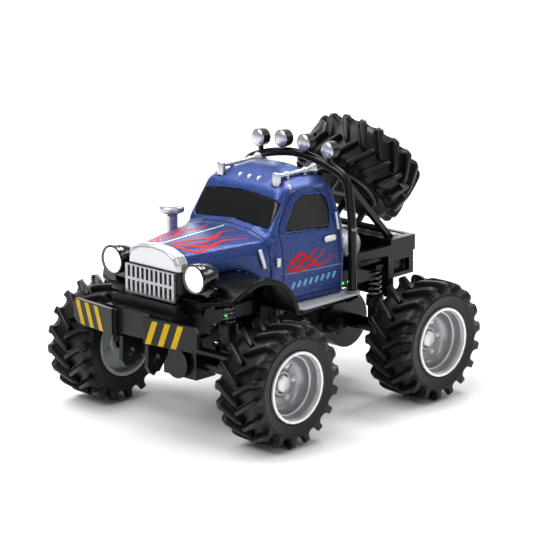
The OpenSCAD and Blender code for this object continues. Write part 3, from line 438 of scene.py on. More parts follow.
pod_paint = material("pod_gloss", "0c0d0f", (0.10, 0.18), metallic=0.1, coat=0.7, tint=0.1,
                     grain=0.02, specular=0.4)
fender_gloss = material("fender_gloss", "060607", (0.2, 0.3), tint=0.15, grain=0.03, specular=0.14)
glass = material("tinted_glass", "0f1011", (0.2, 0.3), tint=0.15, mottle=25, grain=0.01,
                 specular=0.3)
side_glass = material("tinted_side_glass", "2a2a2b", (0.3, 0.4), tint=0.1, mottle=25, grain=0.01,
                      specular=0.3)
grille_metal = material("grille_metal", "adafb3", (0.22, 0.34), metallic=0.8, tint=0.06, grain=0.04,
                        edge=0.2)
mark_pale = material("mark_pale_blue", "9aa6c4", (0.3, 0.4), coat=0.2, tint=0.05, grain=0.02)
step_grey = material("step_grey", "b9bbc0", (0.34, 0.46), metallic=0.25, tint=0.08, grain=0.1)
yellow = material("stripe_yellow", "bd9a08", (0.4, 0.5), tint=0.06, grain=0.04, specular=0.2)
red = material("flame_red", "cc1c18", (0.42, 0.52), tint=0.08, grain=0.02, specular=0.2)
white = material("stripe_white", "d9dce2", (0.25, 0.35), coat=0.4, tint=0.03, grain=0.02)
cyan = material("mark_cyan", "5fb0cf", (0.30, 0.42), coat=0.3, tint=0.06, grain=0.02)
seam = material("seam_shadow", "050812", (0.5, 0.65), tint=0.2, grain=0.05, specular=0.2)
# dark material for the grille's backing and, as painted shade, for the walls of the windshield's
# opening
black_and_recess_shade = material("recess_shade_black", "070708", (0.42, 0.55), tint=0.2, grain=0.1, specular=0.3)
# silver lightened beyond the tank's own colour: painted light against the shade that falls on it
tank_metal_lightened = material("tank_silver", "e4e5e8", (0.26, 0.36), metallic=0.3, tint=0.06, grain=0.05)
steel = material("machined_steel", "8d8f93", (0.22, 0.34), metallic=1.0, tint=0.08, grain=0.06,
                 edge=0.15)
spring_metal = material("spring_steel", "a2a4a8", (0.22, 0.32), metallic=0.95, tint=0.1, grain=0.04)
motor_can = material("motor_can", "2c2d30", (0.3, 0.42), metallic=0.7, tint=0.1, grain=0.05,
                     edge=0.2)
brass = material("pinion_brass", "b08b3f", (0.22, 0.34), metallic=0.95, tint=0.1, grain=0.06,
                 edge=0.1)
nylon = material("white_nylon", "c9cac8", (0.38, 0.5), tint=0.05, grain=0.08, edge=0.2)
cell_wrap = material("cell_wrap_blue", "1d4886", (0.25, 0.35), coat=0.3, tint=0.1, grain=0.03,
                     edge=0.3)
board_green = material("board_green", "124a28", (0.35, 0.5), tint=0.2, mottle=300, grain=0.1,
                       edge=0.1)
switch_grey = material("switch_grey", "77797d", (0.3, 0.42), metallic=0.2, tint=0.08, grain=0.08,
                       edge=0.2)
# colour lightened as painted light against the shade inside the front rims
back_plate_lightened = material("rim_back_plate", "a6b2a8", (0.3, 0.42), metallic=0.2, tint=0.12, grain=0.06)
lamp_glow = glowing("headlamp_glow", "f8fafc", "ffffff", 2.2)
led_glow = glowing("green_led", "2fb54a", "20ff40", 2.5)
dome_chrome = material("lamp_dome", "cdd0d6", (0.22, 0.32), metallic=0.8, coat=0.25, tint=0.03,
                       grain=0.01)

FINISH = {
    "chassis_frame": black, "tow_brackets": black, "front_bumper": satin, "cargo_bed": black,
    "spare_rack": black, "battery_pack": cell_wrap, "receiver_board": board_green,
    "body_screws": steel, "battery_door": satin, "power_switch": switch_grey, "front_link": black,
    "front_axle_housing": black, "steering_servo": satin, "servo_horn": nylon, "tie_rod": satin,
    "knuckle_left": satin, "knuckle_right": satin, "rear_link": black, "rear_axle_housing": black,
    "drive_motor": motor_can, "motor_pinion": brass, "rear_axle_shaft": steel,
    "grille": grille_metal, "bumper_stripes": yellow,
}
for node_name, finish_mat in FINISH.items():
    data = nodes[node_name].data
    data.materials.clear()
    data.materials.append(finish_mat)


# ---------------------------------------------------------------- wheels

TYRE_R = 46.0
LUGS = 18                           # bars on each half of the tread
SLANT = math.tan(math.radians(32))  # of a bar, across the tread
PIVOT_A = 10.0                      # axial place where a slanted bar has no turn
BEND_R = 43.0                       # radius at which the slant is measured
SHOULDER_A = 16.0                   # axial place where the tread turns into the side wall
POCKET_R, POCKET_C = 5.1, 41.7      # rounded end of the gap between two bars
POCKET_FOOT = 36.65                 # radius where the pockets end in the side wall


def lug_form():
    """One bar of the tread, on the outer half, about Z.

    top and foot are (radius, axial) points along the bar, from the tread's middle to the wall.
    A ring's point is a share of the half width, the millimetres beyond it, and a share of the
    way from foot to top.
    """
    top, foot = [], []
    for k in range(9):
        a = -1.2 + 16.5 * k / 8
        top.append((TYRE_R - 0.08 - 0.3 * (a / 15.5) ** 2, a))
        foot.append((39.9, a - 0.4 * k / 8))
    for k in range(1, 7):
        b = math.radians(90 - 15 * k)
        top.append((41.35 + 4.2 * math.sin(b), SHOULDER_A + 4.75 * math.cos(b)))
    foot += [(39.9, 15.3), (39.6, 15.8), (39.2, 16.4), (38.8, 17.0), (38.4, 17.6), (38.1, 18.1)]
    for r in (40.6, 39.8, 39.0, 38.3, 37.7, 37.2, 36.85, 36.6, 36.3, 35.7):
        top.append((r, 20.75 if r > 36.7 else 20.45))
        foot.append((min(r - 0.1, 37.8) - 0.2, 18.6 + 0.16 * (40.2 - r)))
    stations = []
    bend = 0.0
    for (top_r, top_a), (foot_r, foot_a) in zip(top, foot):
        if top_a < SHOULDER_A:
            bend = -(top_a - PIVOT_A) * SLANT / BEND_R
        else:
            bend -= 0.006 if top_r > 40.7 else 0.003
        half = 1.65 + 0.45 * max(0.0, top_a + 1) / 17
        if top_a > SHOULDER_A:
            pitch = math.pi * top_r / LUGS
            drop = max(0.0, POCKET_C - top_r)
            inner = math.sqrt(max(0.0, POCKET_R ** 2 - drop ** 2))
            half = max(half, pitch - inner) if top_r > POCKET_FOOT else pitch + 0.05
        stations.append((top_r, top_a, foot_r, foot_a, bend, half))
    points = []
    shape = [(1.0, 1.5, 0.0), (1.0, 0.75, 0.16), (1.0, 0.38, 0.42), (1.0, 0.08, 0.84),
             (1.0, -0.14, 0.95), (1.0, -0.55, 1.0), (0.5, -0.4, 1.002)]
    ring = [(-s, -d, h) for s, d, h in shape] + [(0.0, 0.0, 1.003)] + [
        (s, d, h) for s, d, h in reversed(shape)]
    for k, (top_r, top_a, foot_r, foot_a, turn, half) in enumerate(stations):
        first = k == 0      # the end in the tread's middle is narrower, lower and sloped
        for s, d, h in ring:
            side = (s * half + d) * (0.82 if first else 1)
            up = h * (0.8 if first else 1)
            r = foot_r + (top_r - foot_r) * up
            a = foot_a + (top_a - foot_a) * up - (0.5 if first and h > 0.4 else 0)
            angle = turn + side / max(r, 30)
            points.append((r * math.cos(angle), r * math.sin(angle), a))
    return points, banded(len(stations), len(ring))


def tyre_form():
    """Whole tyre about Z: a hollow carcass and its bars."""
    wall = [(25.1, 15.6), (25.1, 17.6), (25.5, 18.4), (26.6, 18.9), (27.6, 19.15), (28.0, 19.5),
            (28.5, 19.55), (29.0, 19.45), (31, 20.1), (33.5, 20.62), (34.6, 20.72), (34.9, 20.95),
            (35.4, 20.97), (35.7, 20.75), (36.4, 20.7), (36.9, 20.35), (37.2, 19.7), (37.6, 18.7),
            (38.2, 17.4), (39.0, 16.1), (39.9, 14.6), (40.4, 12.6), (40.5, 10.0), (40.5, 4.0)]
    inside = [(25.1, 15.4), (30, 17.2), (36, 17.0), (37.7, 13.5)]
    profile = wall + [(r, -a) for r, a in reversed(wall)]
    profile += [(r, -a) for r, a in inside] + [(r, a) for r, a in reversed(inside)]
    forms = [lathe(profile, 144, closed=True)]
    bar = lug_form()
    other = [(p[0], p[1], -p[2]) for p in bar[0]], [tuple(reversed(f)) for f in bar[1]]
    for i in range(LUGS):
        turn = 2 * math.pi * i / LUGS
        forms.append(moved(bar, Matrix.Rotation(turn, 4, "Z")))
        forms.append(moved(other, Matrix.Rotation(turn + math.pi / LUGS, 4, "Z")))
    return joined(*forms)


NUT_R = 6.5
BOLT_RING, BOLTS = 13.5, 6          # radius of the bolts' circle, and their number
BOLT_SEAT = 3.15                    # height of the rim's face under a bolt


def rim_forms(bore):
    """The painted rim, and its bright bolts and hub nut."""
    # rim section from the bore outwards, over both lips and back; the radii round its corners
    face = rounded([(bore, 4.0), (5.6, 4.0), (5.9, 3.5), (6.4, 3.5), (7.4, 5.2), (9.2, 5.2),
                    (9.9, 3.3), (11.0, 3.05), (14.5, 3.15), (17.0, 3.6), (18.8, 4.6), (20.2, 6.4),
                    (21.0, 8.4), (21.3, 10.8), (22.5, 11.6), (22.9, 12.6), (23.0, 17.3),
                    (23.5, 18.2), (24.2, 18.4), (24.6, 19.9), (25.9, 19.9), (25.9, 18.85),
                    (25.05, 18.8), (25.05, -18.8), (26.4, -18.85), (26.4, -20.6), (23.7, -20.6),
                    (23.0, -18.2), (22.6, 0.4), (19.5, 0.0), (17, -0.6), (8.0, -0.4), (6.4, -2),
                    (6.0, -5.9), (bore, -5.9)],
                   [0, .3, .3, .3, .5, .5, .8, 1, 2, 2, 1.5, 1.5, 1.2, .5, .5, .5, .8, .5, .4, .5,
                    .4, .1, .1, .1, .1, .4, .4, .6, .8, 1, 1, .8, .8, .3, 0], 3)
    rim = lathe(face, 96, closed=True)
    ribs = []
    for k in range(3):
        turn = turned(120 * k + 15, "Z")
        ribs.append(moved(block(10.2, 17.4, -0.45, 0.45, 2.6, 3.75, 0.3), turn))
    painted = joined(rim, *ribs)
    nut = [(NUT_R * math.cos(math.radians(60 * k)), NUT_R * math.sin(math.radians(60 * k)))
           for k in range(6)]
    parts = [bevelled(prism(nut, 3.6, 6.58), 0.5, 2)]
    parts.append(lathe(rounded([(24.2, 18.7), (24.45, 20.68), (26.4, 20.68), (26.42, 18.9),
                                (25.6, 18.6)], 0.35, 3), 96, closed=True))
    parts.append(lathe([(21.9 + 0.55 * math.cos(math.radians(45 * k)),
                         11.5 + 0.4 * math.sin(math.radians(45 * k))) for k in range(8)], 96,
                       closed=True))
    dome = [(0, 1.75), (0.75, 1.6), (1.35, 1.1), (1.6, 0.4), (1.6, -0.6), (0, -0.6)]
    washer = [(2.15, -0.5), (2.15, 0.15), (1.9, 0.32), (0, 0.32), (0, -0.5)]
    for k in range(BOLTS):
        turn = math.radians(360 / BOLTS * k + 30)
        spot = at(BOLT_RING * math.cos(turn), BOLT_RING * math.sin(turn), BOLT_SEAT)
        parts += [moved(lathe(dome, 20), spot), moved(lathe(washer, 24), spot)]
    return painted, joined(*parts)


def wheel_place(label):
    """Matrix that turns a form about Z into the left wheel of the label's pair."""
    low, high = corner(label + "_tyre")
    centre = (low + high) / 2
    return at(abs(centre.x), centre.y, centre.z) @ ALONG_X


tyre = tyre_form()
WHEELS = [("front_left", 1, "front_wheel_left", 2.05),     # name, side, body, bore's radius
          ("front_right", -1, "front_wheel_right", 2.05),
          ("rear_left", 1, "rear_wheels", 2.01),
          ("rear_right", -1, "rear_wheels", 2.01)]
for label, side, body, bore in WHEELS:
    lay = wheel_place(label)
    painted, bolts = rim_forms(bore)
    piece(label + "_tyre_rubber", on_side(moved(tyre, lay), side), rubber, body,
          [label + "_tyre"], sharp=48)
    piece(label + "_rim_dish", on_side(moved(painted, lay), side), rim_paint, body,
          [label + "_rim"])
    piece(label + "_rim_bolts", on_side(moved(bolts, lay), side), rim_bright, body)

SPARE_C, SPARE_TILT, SPARE_BORE = (0, 100.8, 160.2), 46, 2.51
SPARE_FIT = Matrix.Scale(0.992, 4)  # keeps the bars' corners inside the CAD box
spare = at(*SPARE_C) @ turned(-SPARE_TILT, "X")
painted, bolts = rim_forms(SPARE_BORE)
piece("spare_tyre_rubber", moved(tyre, spare @ SPARE_FIT), rubber, "chassis",
      ["spare_tyre"], sharp=48)
piece("spare_rim_dish", moved(painted, spare), rim_paint, "chassis", ["spare_rim"])
piece("spare_rim_bolts", moved(bolts, spare), rim_bright, "chassis")


# ---------------------------------------------------------------- cab

def ramp(value, start, end):
    """0 at start and 1 at end, held between."""
    return min(1.0, max(0.0, (value - start) / (end - start)))


def roof_share(p):
    """How much a point of the cab is smoothed: 1 on the roof, some at the cowl's corners."""
    slope = 165.5 + 0.10 * (p.y + 30)       # just above the window openings' tops
    cowl = ramp(abs(p.x), 36, 41) * ramp(p.z, 122, 130) * (1 - ramp(p.z, 140, 144))
    cowl *= ramp(p.y, -64, -56) * (1 - ramp(p.y, -44, -40))
    return max(ramp(p.z, slope, slope + 4), 0.7 * cowl)


cab = skin("cab_paint", "cab_shell", 0.7, 18, roof_share, 180)
bm_cab = bmesh.new()
bm_cab.from_mesh(cab.data)
cab_tree = BVHTree.FromBMesh(bm_cab)
bm_cab.free()
finish_piece(cab, paint, "chassis", ["cab_shell"], sharp=0)

# the walls of the windshield's opening take a dark material: painted shade in the recess round the
# glass
cab.data.materials.append(black_and_recess_shade)
GLASS_FOOT, GLASS_TILT = (0, -39, 145), 59      # lower edge of the windshield, and its lean
OPENING_HALF_W, OPENING_LOW, OPENING_HIGH = 41, -3.5, 24
WALL_FACING, WALL_OUTWARD = 0.72, 0.25          # most that a wall faces out of the opening
from_glass = at(*GLASS_FOOT) @ turned(GLASS_TILT, "X")
to_glass = from_glass.inverted()
for face in cab.data.polygons:
    centre = face.center / MM
    if centre.z < 138 or centre.y > -20:
        continue
    flat = to_glass @ centre
    facing = (to_glass.to_3x3() @ face.normal).z
    outward = face.normal.x * math.copysign(1, centre.x)
    in_opening = abs(flat.x) < OPENING_HALF_W and OPENING_LOW < flat.y < OPENING_HIGH
    if in_opening and flat.z < 6 and facing < WALL_FACING and outward < WALL_OUTWARD:
        face.material_index = 1

DOORS = ("left", "right")
# flat views of the cab: where a ray starts, its way, and the axes that the view's points give
RAYS = {"top": (Vector((0, 0, 0.25)), Vector((0, 0, -1)), (0, 1)),
        "left": (Vector((0.12, 0, 0)), Vector((-1, 0, 0)), (1, 2)),
        "right": (Vector((-0.12, 0, 0)), Vector((1, 0, 0)), (1, 2))}


def on_cab(view, point):
    """Where a point of a flat view meets the cab, with the surface's normal."""
    start, way, axes = RAYS[view]
    origin = start.copy()
    origin[axes[0]], origin[axes[1]] = point[0] * MM, point[1] * MM
    hit, normal, _, _ = cab_tree.ray_cast(origin, way)
    if hit is None:
        return None
    if normal.dot(way) > 0:
        normal = -normal
    return hit / MM, normal


def seat_on_cab(view, point):
    """Matrix that stands a form about Z on the cab."""
    spot, normal = on_cab(view, point)
    return Matrix.Translation(spot) @ normal.to_track_quat("Z", "Y").to_matrix().to_4x4()


def stroke(view, path, width, rise=0.14, sink=0.25):
    """Closed ribbon that follows the cab along a line. width is a number or one per point."""
    p = np.array(path, float)
    n = len(p)
    t = np.gradient(p, axis=0)
    t /= np.linalg.norm(t, axis=1)[:, None] + 1e-9
    across = np.stack([-t[:, 1], t[:, 0]], 1)
    w = np.full(n, float(width)) if np.isscalar(width) else np.array(width, float)
    section = ((-0.5, -sink), (-0.46, rise), (0, rise + 0.01), (0.46, rise), (0.5, -sink))
    rows = []
    for i in range(n):
        row = []
        for s, lift in section:
            found = on_cab(view, p[i] + across[i] * w[i] * s)
            if found is None:
                row = None
                break
            row.append(tuple(found[0] + found[1] * lift))
        if row:
            rows.append(row)
    return [q for row in rows for q in row], banded(len(rows), len(section))


def lick(points, widest):
    """Tapered flame tongue: a smooth line and its widths."""
    path = spline(points, 10)
    n = len(path)
    width = []
    for i in range(n):
        t = i / (n - 1)
        width.append(0.15 + widest * (math.sin(math.pi * min(1, t * 1.7) / 2) ** 0.8)
                     * (1 - t) ** 0.7 * 2.3)
    return path, width


# flame tongues: the points of each line, and its widest place
HOOD_LICKS = [([(5, -109), (15, -101), (25, -88), (24, -73), (31, -54)], 2.3),
              ([(6, -108.5), (18, -107.5), (26.5, -99), (26, -90), (31, -79)], 1.9),
              ([(6, -106), (9, -90), (15, -74), (10.5, -61), (15, -47.5)], 2.1),
              ([(12, -100), (18.5, -88), (16.5, -77), (22, -64)], 1.5)]
DOOR_LICKS = [([(-31, 111.5), (-24, 117.5), (-15.5, 121.5), (-8, 118), (2, 125)], 1.9),
              ([(-31, 111), (-20, 112.6), (-11, 117), (-2, 114.6), (11, 123)], 2.1),
              ([(-30, 110.6), (-17, 109.2), (-5, 111.8), (5, 110.2), (18, 116.5)], 1.8),
              ([(-26, 115), (-19, 117.5), (-13, 115.8), (-6.5, 120)], 1.1)]
flames = []
for points, widest in HOOD_LICKS:
    path, width = lick(points, widest)
    flames.append(stroke("top", path, width))
    flames.append(stroke("top", [(-x, y) for x, y in path], width))
for view in DOORS:
    for points, widest in DOOR_LICKS:
        path, width = lick(points, widest)
        flames.append(stroke(view, path, width))
piece("flame_graphics", joined(*flames), red, "chassis")

STRIP_W = 1.7
strip = [(0, y) for y in np.linspace(-112.5, -47.5, 60)]
piece("hood_centre_strip", stroke("top", strip, STRIP_W, rise=0.3), white, "chassis")

BARS, BAR_PITCH, BAR_W = 8, 5.8, 2.4        # slanted bars low on each door
marks = []
for view in DOORS:
    for k in range(BARS):
        y = -25 + BAR_PITCH * k
        bar_line = [(y + 0.5 * s, 96.6 + 0.9 * s + 0.04 * (y + 25)) for s in range(6)]
        marks.append(stroke(view, bar_line, BAR_W, rise=0.12))
piece("door_hash_marks", joined(*marks), cyan, "chassis")


def even(points, gap):
    """The same line with points about gap apart."""
    out = []
    for a, b in zip(points, points[1:]):
        a, b = np.array(a, float), np.array(b, float)
        steps = max(1, int(np.linalg.norm(b - a) / gap))
        out += [tuple(a + (b - a) * k / steps) for k in range(steps)]
    return out + [tuple(points[-1])]


SEAM_STEP = 1.2
door_line = rounded([(-33.5, 92), (-33.5, 130), (-37, 142), (-20, 164.5), (-9, 168), (8, 167),
                     (14.5, 160), (17, 149), (23.5, 129), (27.0, 116), (26.5, 95), (21, 89.5),
                     (-30, 89.5)], [3, 5, 7, 9, 6, 7, 8, 8, 6, 6, 5, 5, 2], 5, closed=False)
cowl_top = spline([(-43.6, -46.5), (-33, -45.2), (-18, -44.3), (0, -43.9), (18, -44.3),
                   (33, -45.2), (43.6, -46.5)], 8)
cowl_side = [(-46.2, 133), (-45.3, 128), (-44.8, 112)]
belt_line = [(-33.4, 139.5), (-22, 138.2), (16, 136.2)]
# the seams are dark strips painted as the shade in the panel lines' grooves
seams = [stroke("top", even(cowl_top, SEAM_STEP), 0.8, rise=0.05)]
for view in DOORS:
    seams.append(stroke(view, even(door_line, SEAM_STEP), 0.75, rise=0.05))
    seams.append(stroke(view, even(cowl_side, SEAM_STEP), 0.8, rise=0.05))
    seams.append(stroke(view, even(belt_line, SEAM_STEP), 0.35, rise=0.04))
piece("panel_seams", joined(*seams), seam, "chassis")

lines = [stroke(view, even([(-32, 108.6), (24, 107.2)], 1.5), 0.42, rise=0.08)
         for view in DOORS]
piece("door_pinstripes", joined(*lines), mark_pale, "chassis")

RIVETS, RIVET_PITCH = 21, 2.55              # in each of a door's two rows
rivet = [(0, 0.28), (0.22, 0.24), (0.4, 0.1), (0.46, -0.3), (0, -0.3)]
rivets = []
for view in DOORS:
    for z0 in (104.6, 94.2):
        for k in range(RIVETS):
            y = -31 + RIVET_PITCH * k
            spot = seat_on_cab(view, (y, z0 - 0.025 * (y + 31)))
            rivets.append(moved(lathe(rivet, 8), spot))
piece("door_rivets", joined(*rivets), seam, "chassis")

MARKERS = ((-37.1, -16.5), (-9.6, -19.8), (0, -20), (9.6, -19.8), (37.1, -16.5))
drop = [(0, 1.5), (0.8, 1.25), (1.35, 0.5), (1.5, -0.6), (0, -0.6)]
long = Matrix.Diagonal((1, 1.75, 1.1, 1))
markers = [moved(lathe(drop, 20), seat_on_cab("top", spot) @ long) for spot in MARKERS]
piece("roof_markers", joined(*markers), pearl, "chassis")

for name, node, tint in (("windshield_glass", "windshield", glass),
                         ("side_glass", "side_windows", side_glass),
                         ("rear_glass", "rear_window", glass)):
    finish_piece(skin(name, node, 0.42, 3), tint, "chassis", [node], sharp=0)


# ---------------------------------------------------------------- nose, lamps, fenders

# Below this height the nose is black: partly its own black and partly painted shade between the
# grille and the lamp pods.
CHEEK_Z = 123.4         # the nose is bright above this height and black below
nose = skin("nose_shell", "nose_cap", 0.45, 7)
black_and_shade_cheeks = add_object("nose_cheeks", bpy.data.meshes.new("nose_cheeks"))
nose_bm = bmesh.new()
nose_bm.from_mesh(nose.data)
NOSE_HALVES = ((True, nose, pearl, "bright_trim", ["nose_cap"]),
               (False, black_and_shade_cheeks, black_soft, "gloss_black", ()))
for above, obj, mat, slot, replaced in NOSE_HALVES:
    half_bm = nose_bm.copy()
    whole = half_bm.verts[:] + half_bm.edges[:] + half_bm.faces[:]
    cut = bmesh.ops.bisect_plane(half_bm, geom=whole,
                                 plane_co=(0, 0, CHEEK_Z * MM), plane_no=(0, 0, 1),
                                 clear_outer=not above, clear_inner=above)
    rim_edges = [e for e in cut["geom_cut"] if isinstance(e, bmesh.types.BMEdge)]
    bmesh.ops.holes_fill(half_bm, edges=rim_edges, sides=0)
    half_bm.to_mesh(obj.data)
    half_bm.free()
    finish_piece(obj, mat, "chassis", replaced, sharp=0)
nose_bm.free()

brow_half = [(-25.6, -117.6, 124), (-25.2, -119.2, 129.5), (-21.8, -120.6, 134.8),
             (-12, -121.4, 138.1)]
brow = rounded(brow_half + [(0, -121.8, 139.2)] + [(-x, y, z) for x, y, z in reversed(brow_half)],
               5, 6, False)
badge = [(0, 2.2), (1.1, 1.9), (1.9, 1.0), (2.3, 0), (2.3, -0.8), (0, -0.8)]
badge_place = at(0, -116.6, 137.8) @ Matrix.Diagonal((1, 1.5, .62, 1))
ornament = joined(
    moved(lathe(badge, 24), badge_place),
    tube([(0, -114.2, 138.3), (0, -112.6, 139.0), (0, -111.0, 139.0)], [1.2, 1.0, 0.8], 12))
piece("nose_brow", tube(brow, 0.75, 10), pearl, "chassis")
piece("nose_ornament", ornament, chrome, "chassis")
backing = [block(-20, 20, -117.4, -116.6, 101.2, 120.4, 0.2)]
backing += [block(-19, 19, -120.4, -119.7, z, z + 0.6, 0.15) for z in (104.5, 108, 115, 118.5)]
piece("grille_backing", joined(*backing), black_and_recess_shade, "chassis")

LAMP = Vector((42.4, -121.2, 121.3))        # middle of the left headlight's rim
pod_outer = rounded([(0, -22), (4.5, -21.2), (8.4, -16.8), (10.2, -11), (10.9, -5.2), (10.9, -2.4),
                     (11.2, -1.9), (11.2, 0.55), (10.7, 1.0), (9.75, 0.9), (9.35, 0.0), (9.3, -3),
                     (7.5, -8), (0, -10)],
                    [0, 2, 3, 3, 1, .2, .3, .5, .4, .4, .3, 1, 2, 0], 4, False)
lens_out = [(0, 1.4), (2.4, 1.34), (4.6, 1.14), (6.6, 0.78), (8.1, 0.3), (8.9, -0.3), (9.15, -1),
            (9.15, -2), (0, -2)]
trim_ring = rounded([(9.5, 0.95), (10.6, 1.02), (11.15, 0.5), (11.15, -0.5), (10.4, -0.3),
                     (9.6, -0.2)], 0.3, 3)
STEP_RIBS = 5
for label, side in SIDES:
    spot = Matrix.Translation(LAMP) @ ALONG_FRONT
    stem = rounded([(-8, -114), (6.5, -114), (8.5, -104.5), (-9.5, -104.5)], 2.5, 4)
    foot = bevelled(shifted(prism(stem, 106.4, 113.4), x=LAMP.x), 0.8, 3, 50)
    body_form = joined(moved(lathe(pod_outer, 64), spot), foot)
    piece("headlight_body_" + label, on_side(body_form, side), pod_paint, "chassis",
          ["headlight_pod_" + label])
    piece("headlight_ring_" + label, on_side(moved(lathe(trim_ring, 64, True), spot), side),
          pod_paint, "chassis")
    piece("headlight_glow_" + label, on_side(moved(lathe(lens_out, 64), spot), side), lamp_glow,
          "chassis", ["headlight_lens_" + label])
    fender = skin("fender_moulding_" + label, "fender_" + label, 0.6, 4)
    finish_piece(fender, fender_gloss, "chassis", ["fender_" + label], sharp=0)
    board = rounded([(44, -31), (57, -31), (62, -26), (62, 35), (57, 40), (44, 40)],
                    [0.5, 4, 4, 4, 4, 0.5], 5)
    inner = [(44 + (x - 44) * 0.965, 4.5 + (y - 4.5) * 0.985) for x, y in board]
    tread = [bevelled(prism(board, 82.9, 84.35), 0.45, 3, 50)]
    for k in range(STEP_RIBS):
        x = 47.5 + 2.6 * k
        tread.append(block(x, x + 1.0, -25 + k, 33 - k, 84.2, 84.6, 0.18))
    piece("step_tread_" + label, on_side(joined(*tread), side), step_grey, "chassis",
          ["running_board_" + label])
    under = bevelled(prism(inner, 80.3, 83.0), 0.4, 2, 50)
    piece("step_skirt_" + label, on_side(under, side), black_soft, "chassis")


# ---------------------------------------------------------------- stack, horns, trim

STACK_X, STACK_Y = -45, -57
stack = rounded([(0, 126.05), (5.9, 126.05), (5.9, 127.6), (4.6, 128.2), (4.35, 129.5),
                 (4.35, 143.4), (5.2, 144.6), (8.8, 145.9), (9.55, 146.8), (9.55, 149.6),
                 (8.9, 150.2), (8.7, 150.6), (6.4, 151.25), (0, 151.3)],
                [0, .5, .5, .5, .3, 1, .6, .6, .5, .5, .3, .4, .6, 0], 4, False)
piece("intake_stack_chrome", shifted(lathe(stack, 48), STACK_X, STACK_Y), dome_chrome, "chassis",
      ["intake_stack"])

HORN_X, HORN_Z = 28.5, 177.6
horn_profile = [(0, -0.3), (1.5, -0.3), (1.5, 7.3), (2.15, 7.7), (2.15, 10.6), (1.5, 11),
                (1.5, 26.5), (2.35, 27), (2.35, 30.4), (1.7, 31), (1.8, 32.1), (2.6, 34.9),
                (3.95, 37.9), (3.95, 38.5), (3.2, 38.5), (1.2, 35.6), (0, 35.6)]
horn_foot = [(0, 0), (1.5, 0), (1.3, 3.2), (0, 3.2)]
for label, side in SIDES:
    x, z = HORN_X, HORN_Z
    flared = moved(lathe(rounded(horn_profile, 0.25, 2, False), 32),
                   at(x, -19.0, z) @ ALONG_BACK)
    head = bevelled(block(x - 3.2, x + 3.2, -22.4, -18.8, 169.9, 180.4, 0), 0.9, 3)
    pad = [shifted(lathe(horn_foot, 16), x, y, z - 4.2) for y in (-9, 9.5)]
    piece("roof_horn_" + label, on_side(joined(flared, head, *pad), side), dome_chrome, "chassis",
          ["air_horn_" + label])


def capsule(length, r, flat):
    """Rounded bar along Y, centred, flattened in X."""
    steps = 8
    quarter = [math.radians(90 * k / steps) for k in range(steps + 1)]
    prof = [(r * math.sin(a), -length / 2 + r - r * math.cos(a)) for a in quarter]
    prof += [(q, -z) for q, z in reversed(prof)]
    return moved(lathe(prof, 24), Matrix.Diagonal((flat, 1, 1, 1)) @ ALONG_BACK)


trim_forms = []
for side in (1, -1):
    # door handle, vent bar (shorter under the stack), side marker, strip on the rear pillar
    grip = shifted(capsule(12.4, 2.3, 0.6), 50.9, 13.4, 128.4)
    bar_top = 15.5 if side > 0 else 8
    bar = moved(block(0, 1.5, 0, 2.9, 0, bar_top, 0.7),
                at(44.3, -52.3, 116) @ turned(-13, "Z") @ turned(16, "X"))
    tag = block(48.0, 49.2, -41.5, -38, 116, 122.5, 0.3)
    pillar = moved(block(-0.6, 0.6, -0.9, 0.9, -6.6, 6.6, 0.55),
                   at(49.2, 22.9, 140) @ turned(-11, "Y"))
    trim_forms += [on_side(f, side) for f in (grip, bar, tag, pillar)]
piece("bright_body_trim", joined(*trim_forms), trim_white, "chassis", ["cab_trim"])


# ---------------------------------------------------------------- hoop and roof lamps

HOOP_X, HOOP_Y, HOOP_R, HOOP_FOOT_Z = 57.3, 30.8, 3.3, 84.6
half = [(HOOP_X, HOOP_FOOT_Z), (HOOP_X, 138), (53.5, 163), (52.0, 168.5), (47.5, 173.2),
        (40, 176.4), (24, 180.8), (0, 184.35)]
hoop_line = [(-x, HOOP_Y, z) for x, z in half] + [(x, HOOP_Y, z) for x, z in reversed(half[:-1])]
hoop = tube(rounded(hoop_line, 14, 8, False), HOOP_R, 20)
flange = [(0, 0), (4.7, 0), (4.7, 1.1), (4.3, 1.55), (0, 1.55)]
collar = [(3.1, 0), (3.2, 0.4), (3.2, 2.2), (3.1, 2.6)]
feet = []
for side in (1, -1):
    feet.append(shifted(lathe(flange, 32), 57 * side, HOOP_Y, HOOP_FOOT_Z))
    for z in (96, 132):
        feet.append(shifted(lathe(collar, 24, True), HOOP_X * side, HOOP_Y, z))
piece("roll_hoop_tube", hoop, black_soft, "chassis", ["roll_hoop"])
piece("roll_hoop_feet", joined(*feet), switch_grey, "chassis")

cup = rounded([(0, -8.55), (5.2, -8.5), (6.5, -7.6), (6.75, -2.4), (6.85, -0.6), (6.6, -0.3),
               (6.3, -0.4), (6.1, -2.2), (0, -2.6)], [0, 1, 1.2, 1, .2, .15, .2, .3, 0], 4, False)
dome = [(0, 1.5), (1.7, 1.42), (3.4, 1.14), (4.9, 0.66), (5.9, 0.05), (6.4, -0.6), (6.4, -1.0),
        (6.0, -1.8), (0, -2.1)]
LAMPS_Y = 26.2
LAMPS = [(35.6, 190.6, 180.4), (11.7, 193.1, 186.3)]    # side, height, foot's height
cups, domes = [], []
for x0, z, foot_z in LAMPS:
    for x in (x0, -x0):
        spot = at(x, LAMPS_Y, z) @ ALONG_FRONT
        cups.append(moved(lathe(cup, 40), spot))
        cups.append(block(x - 1.6, x + 1.6, 28.4, 31.2, foot_z, z - 3.6, 0.4))
        domes.append(moved(lathe(dome, 40), spot))
piece("roof_lamp_cups", joined(*cups), black_soft, "chassis", ["roof_lamp_housings"])
piece("roof_lamp_domes", joined(*domes), dome_chrome, "chassis",
      ["roof_lamp_lenses"])


# ---------------------------------------------------------------- tank, bed, valance, rim backs

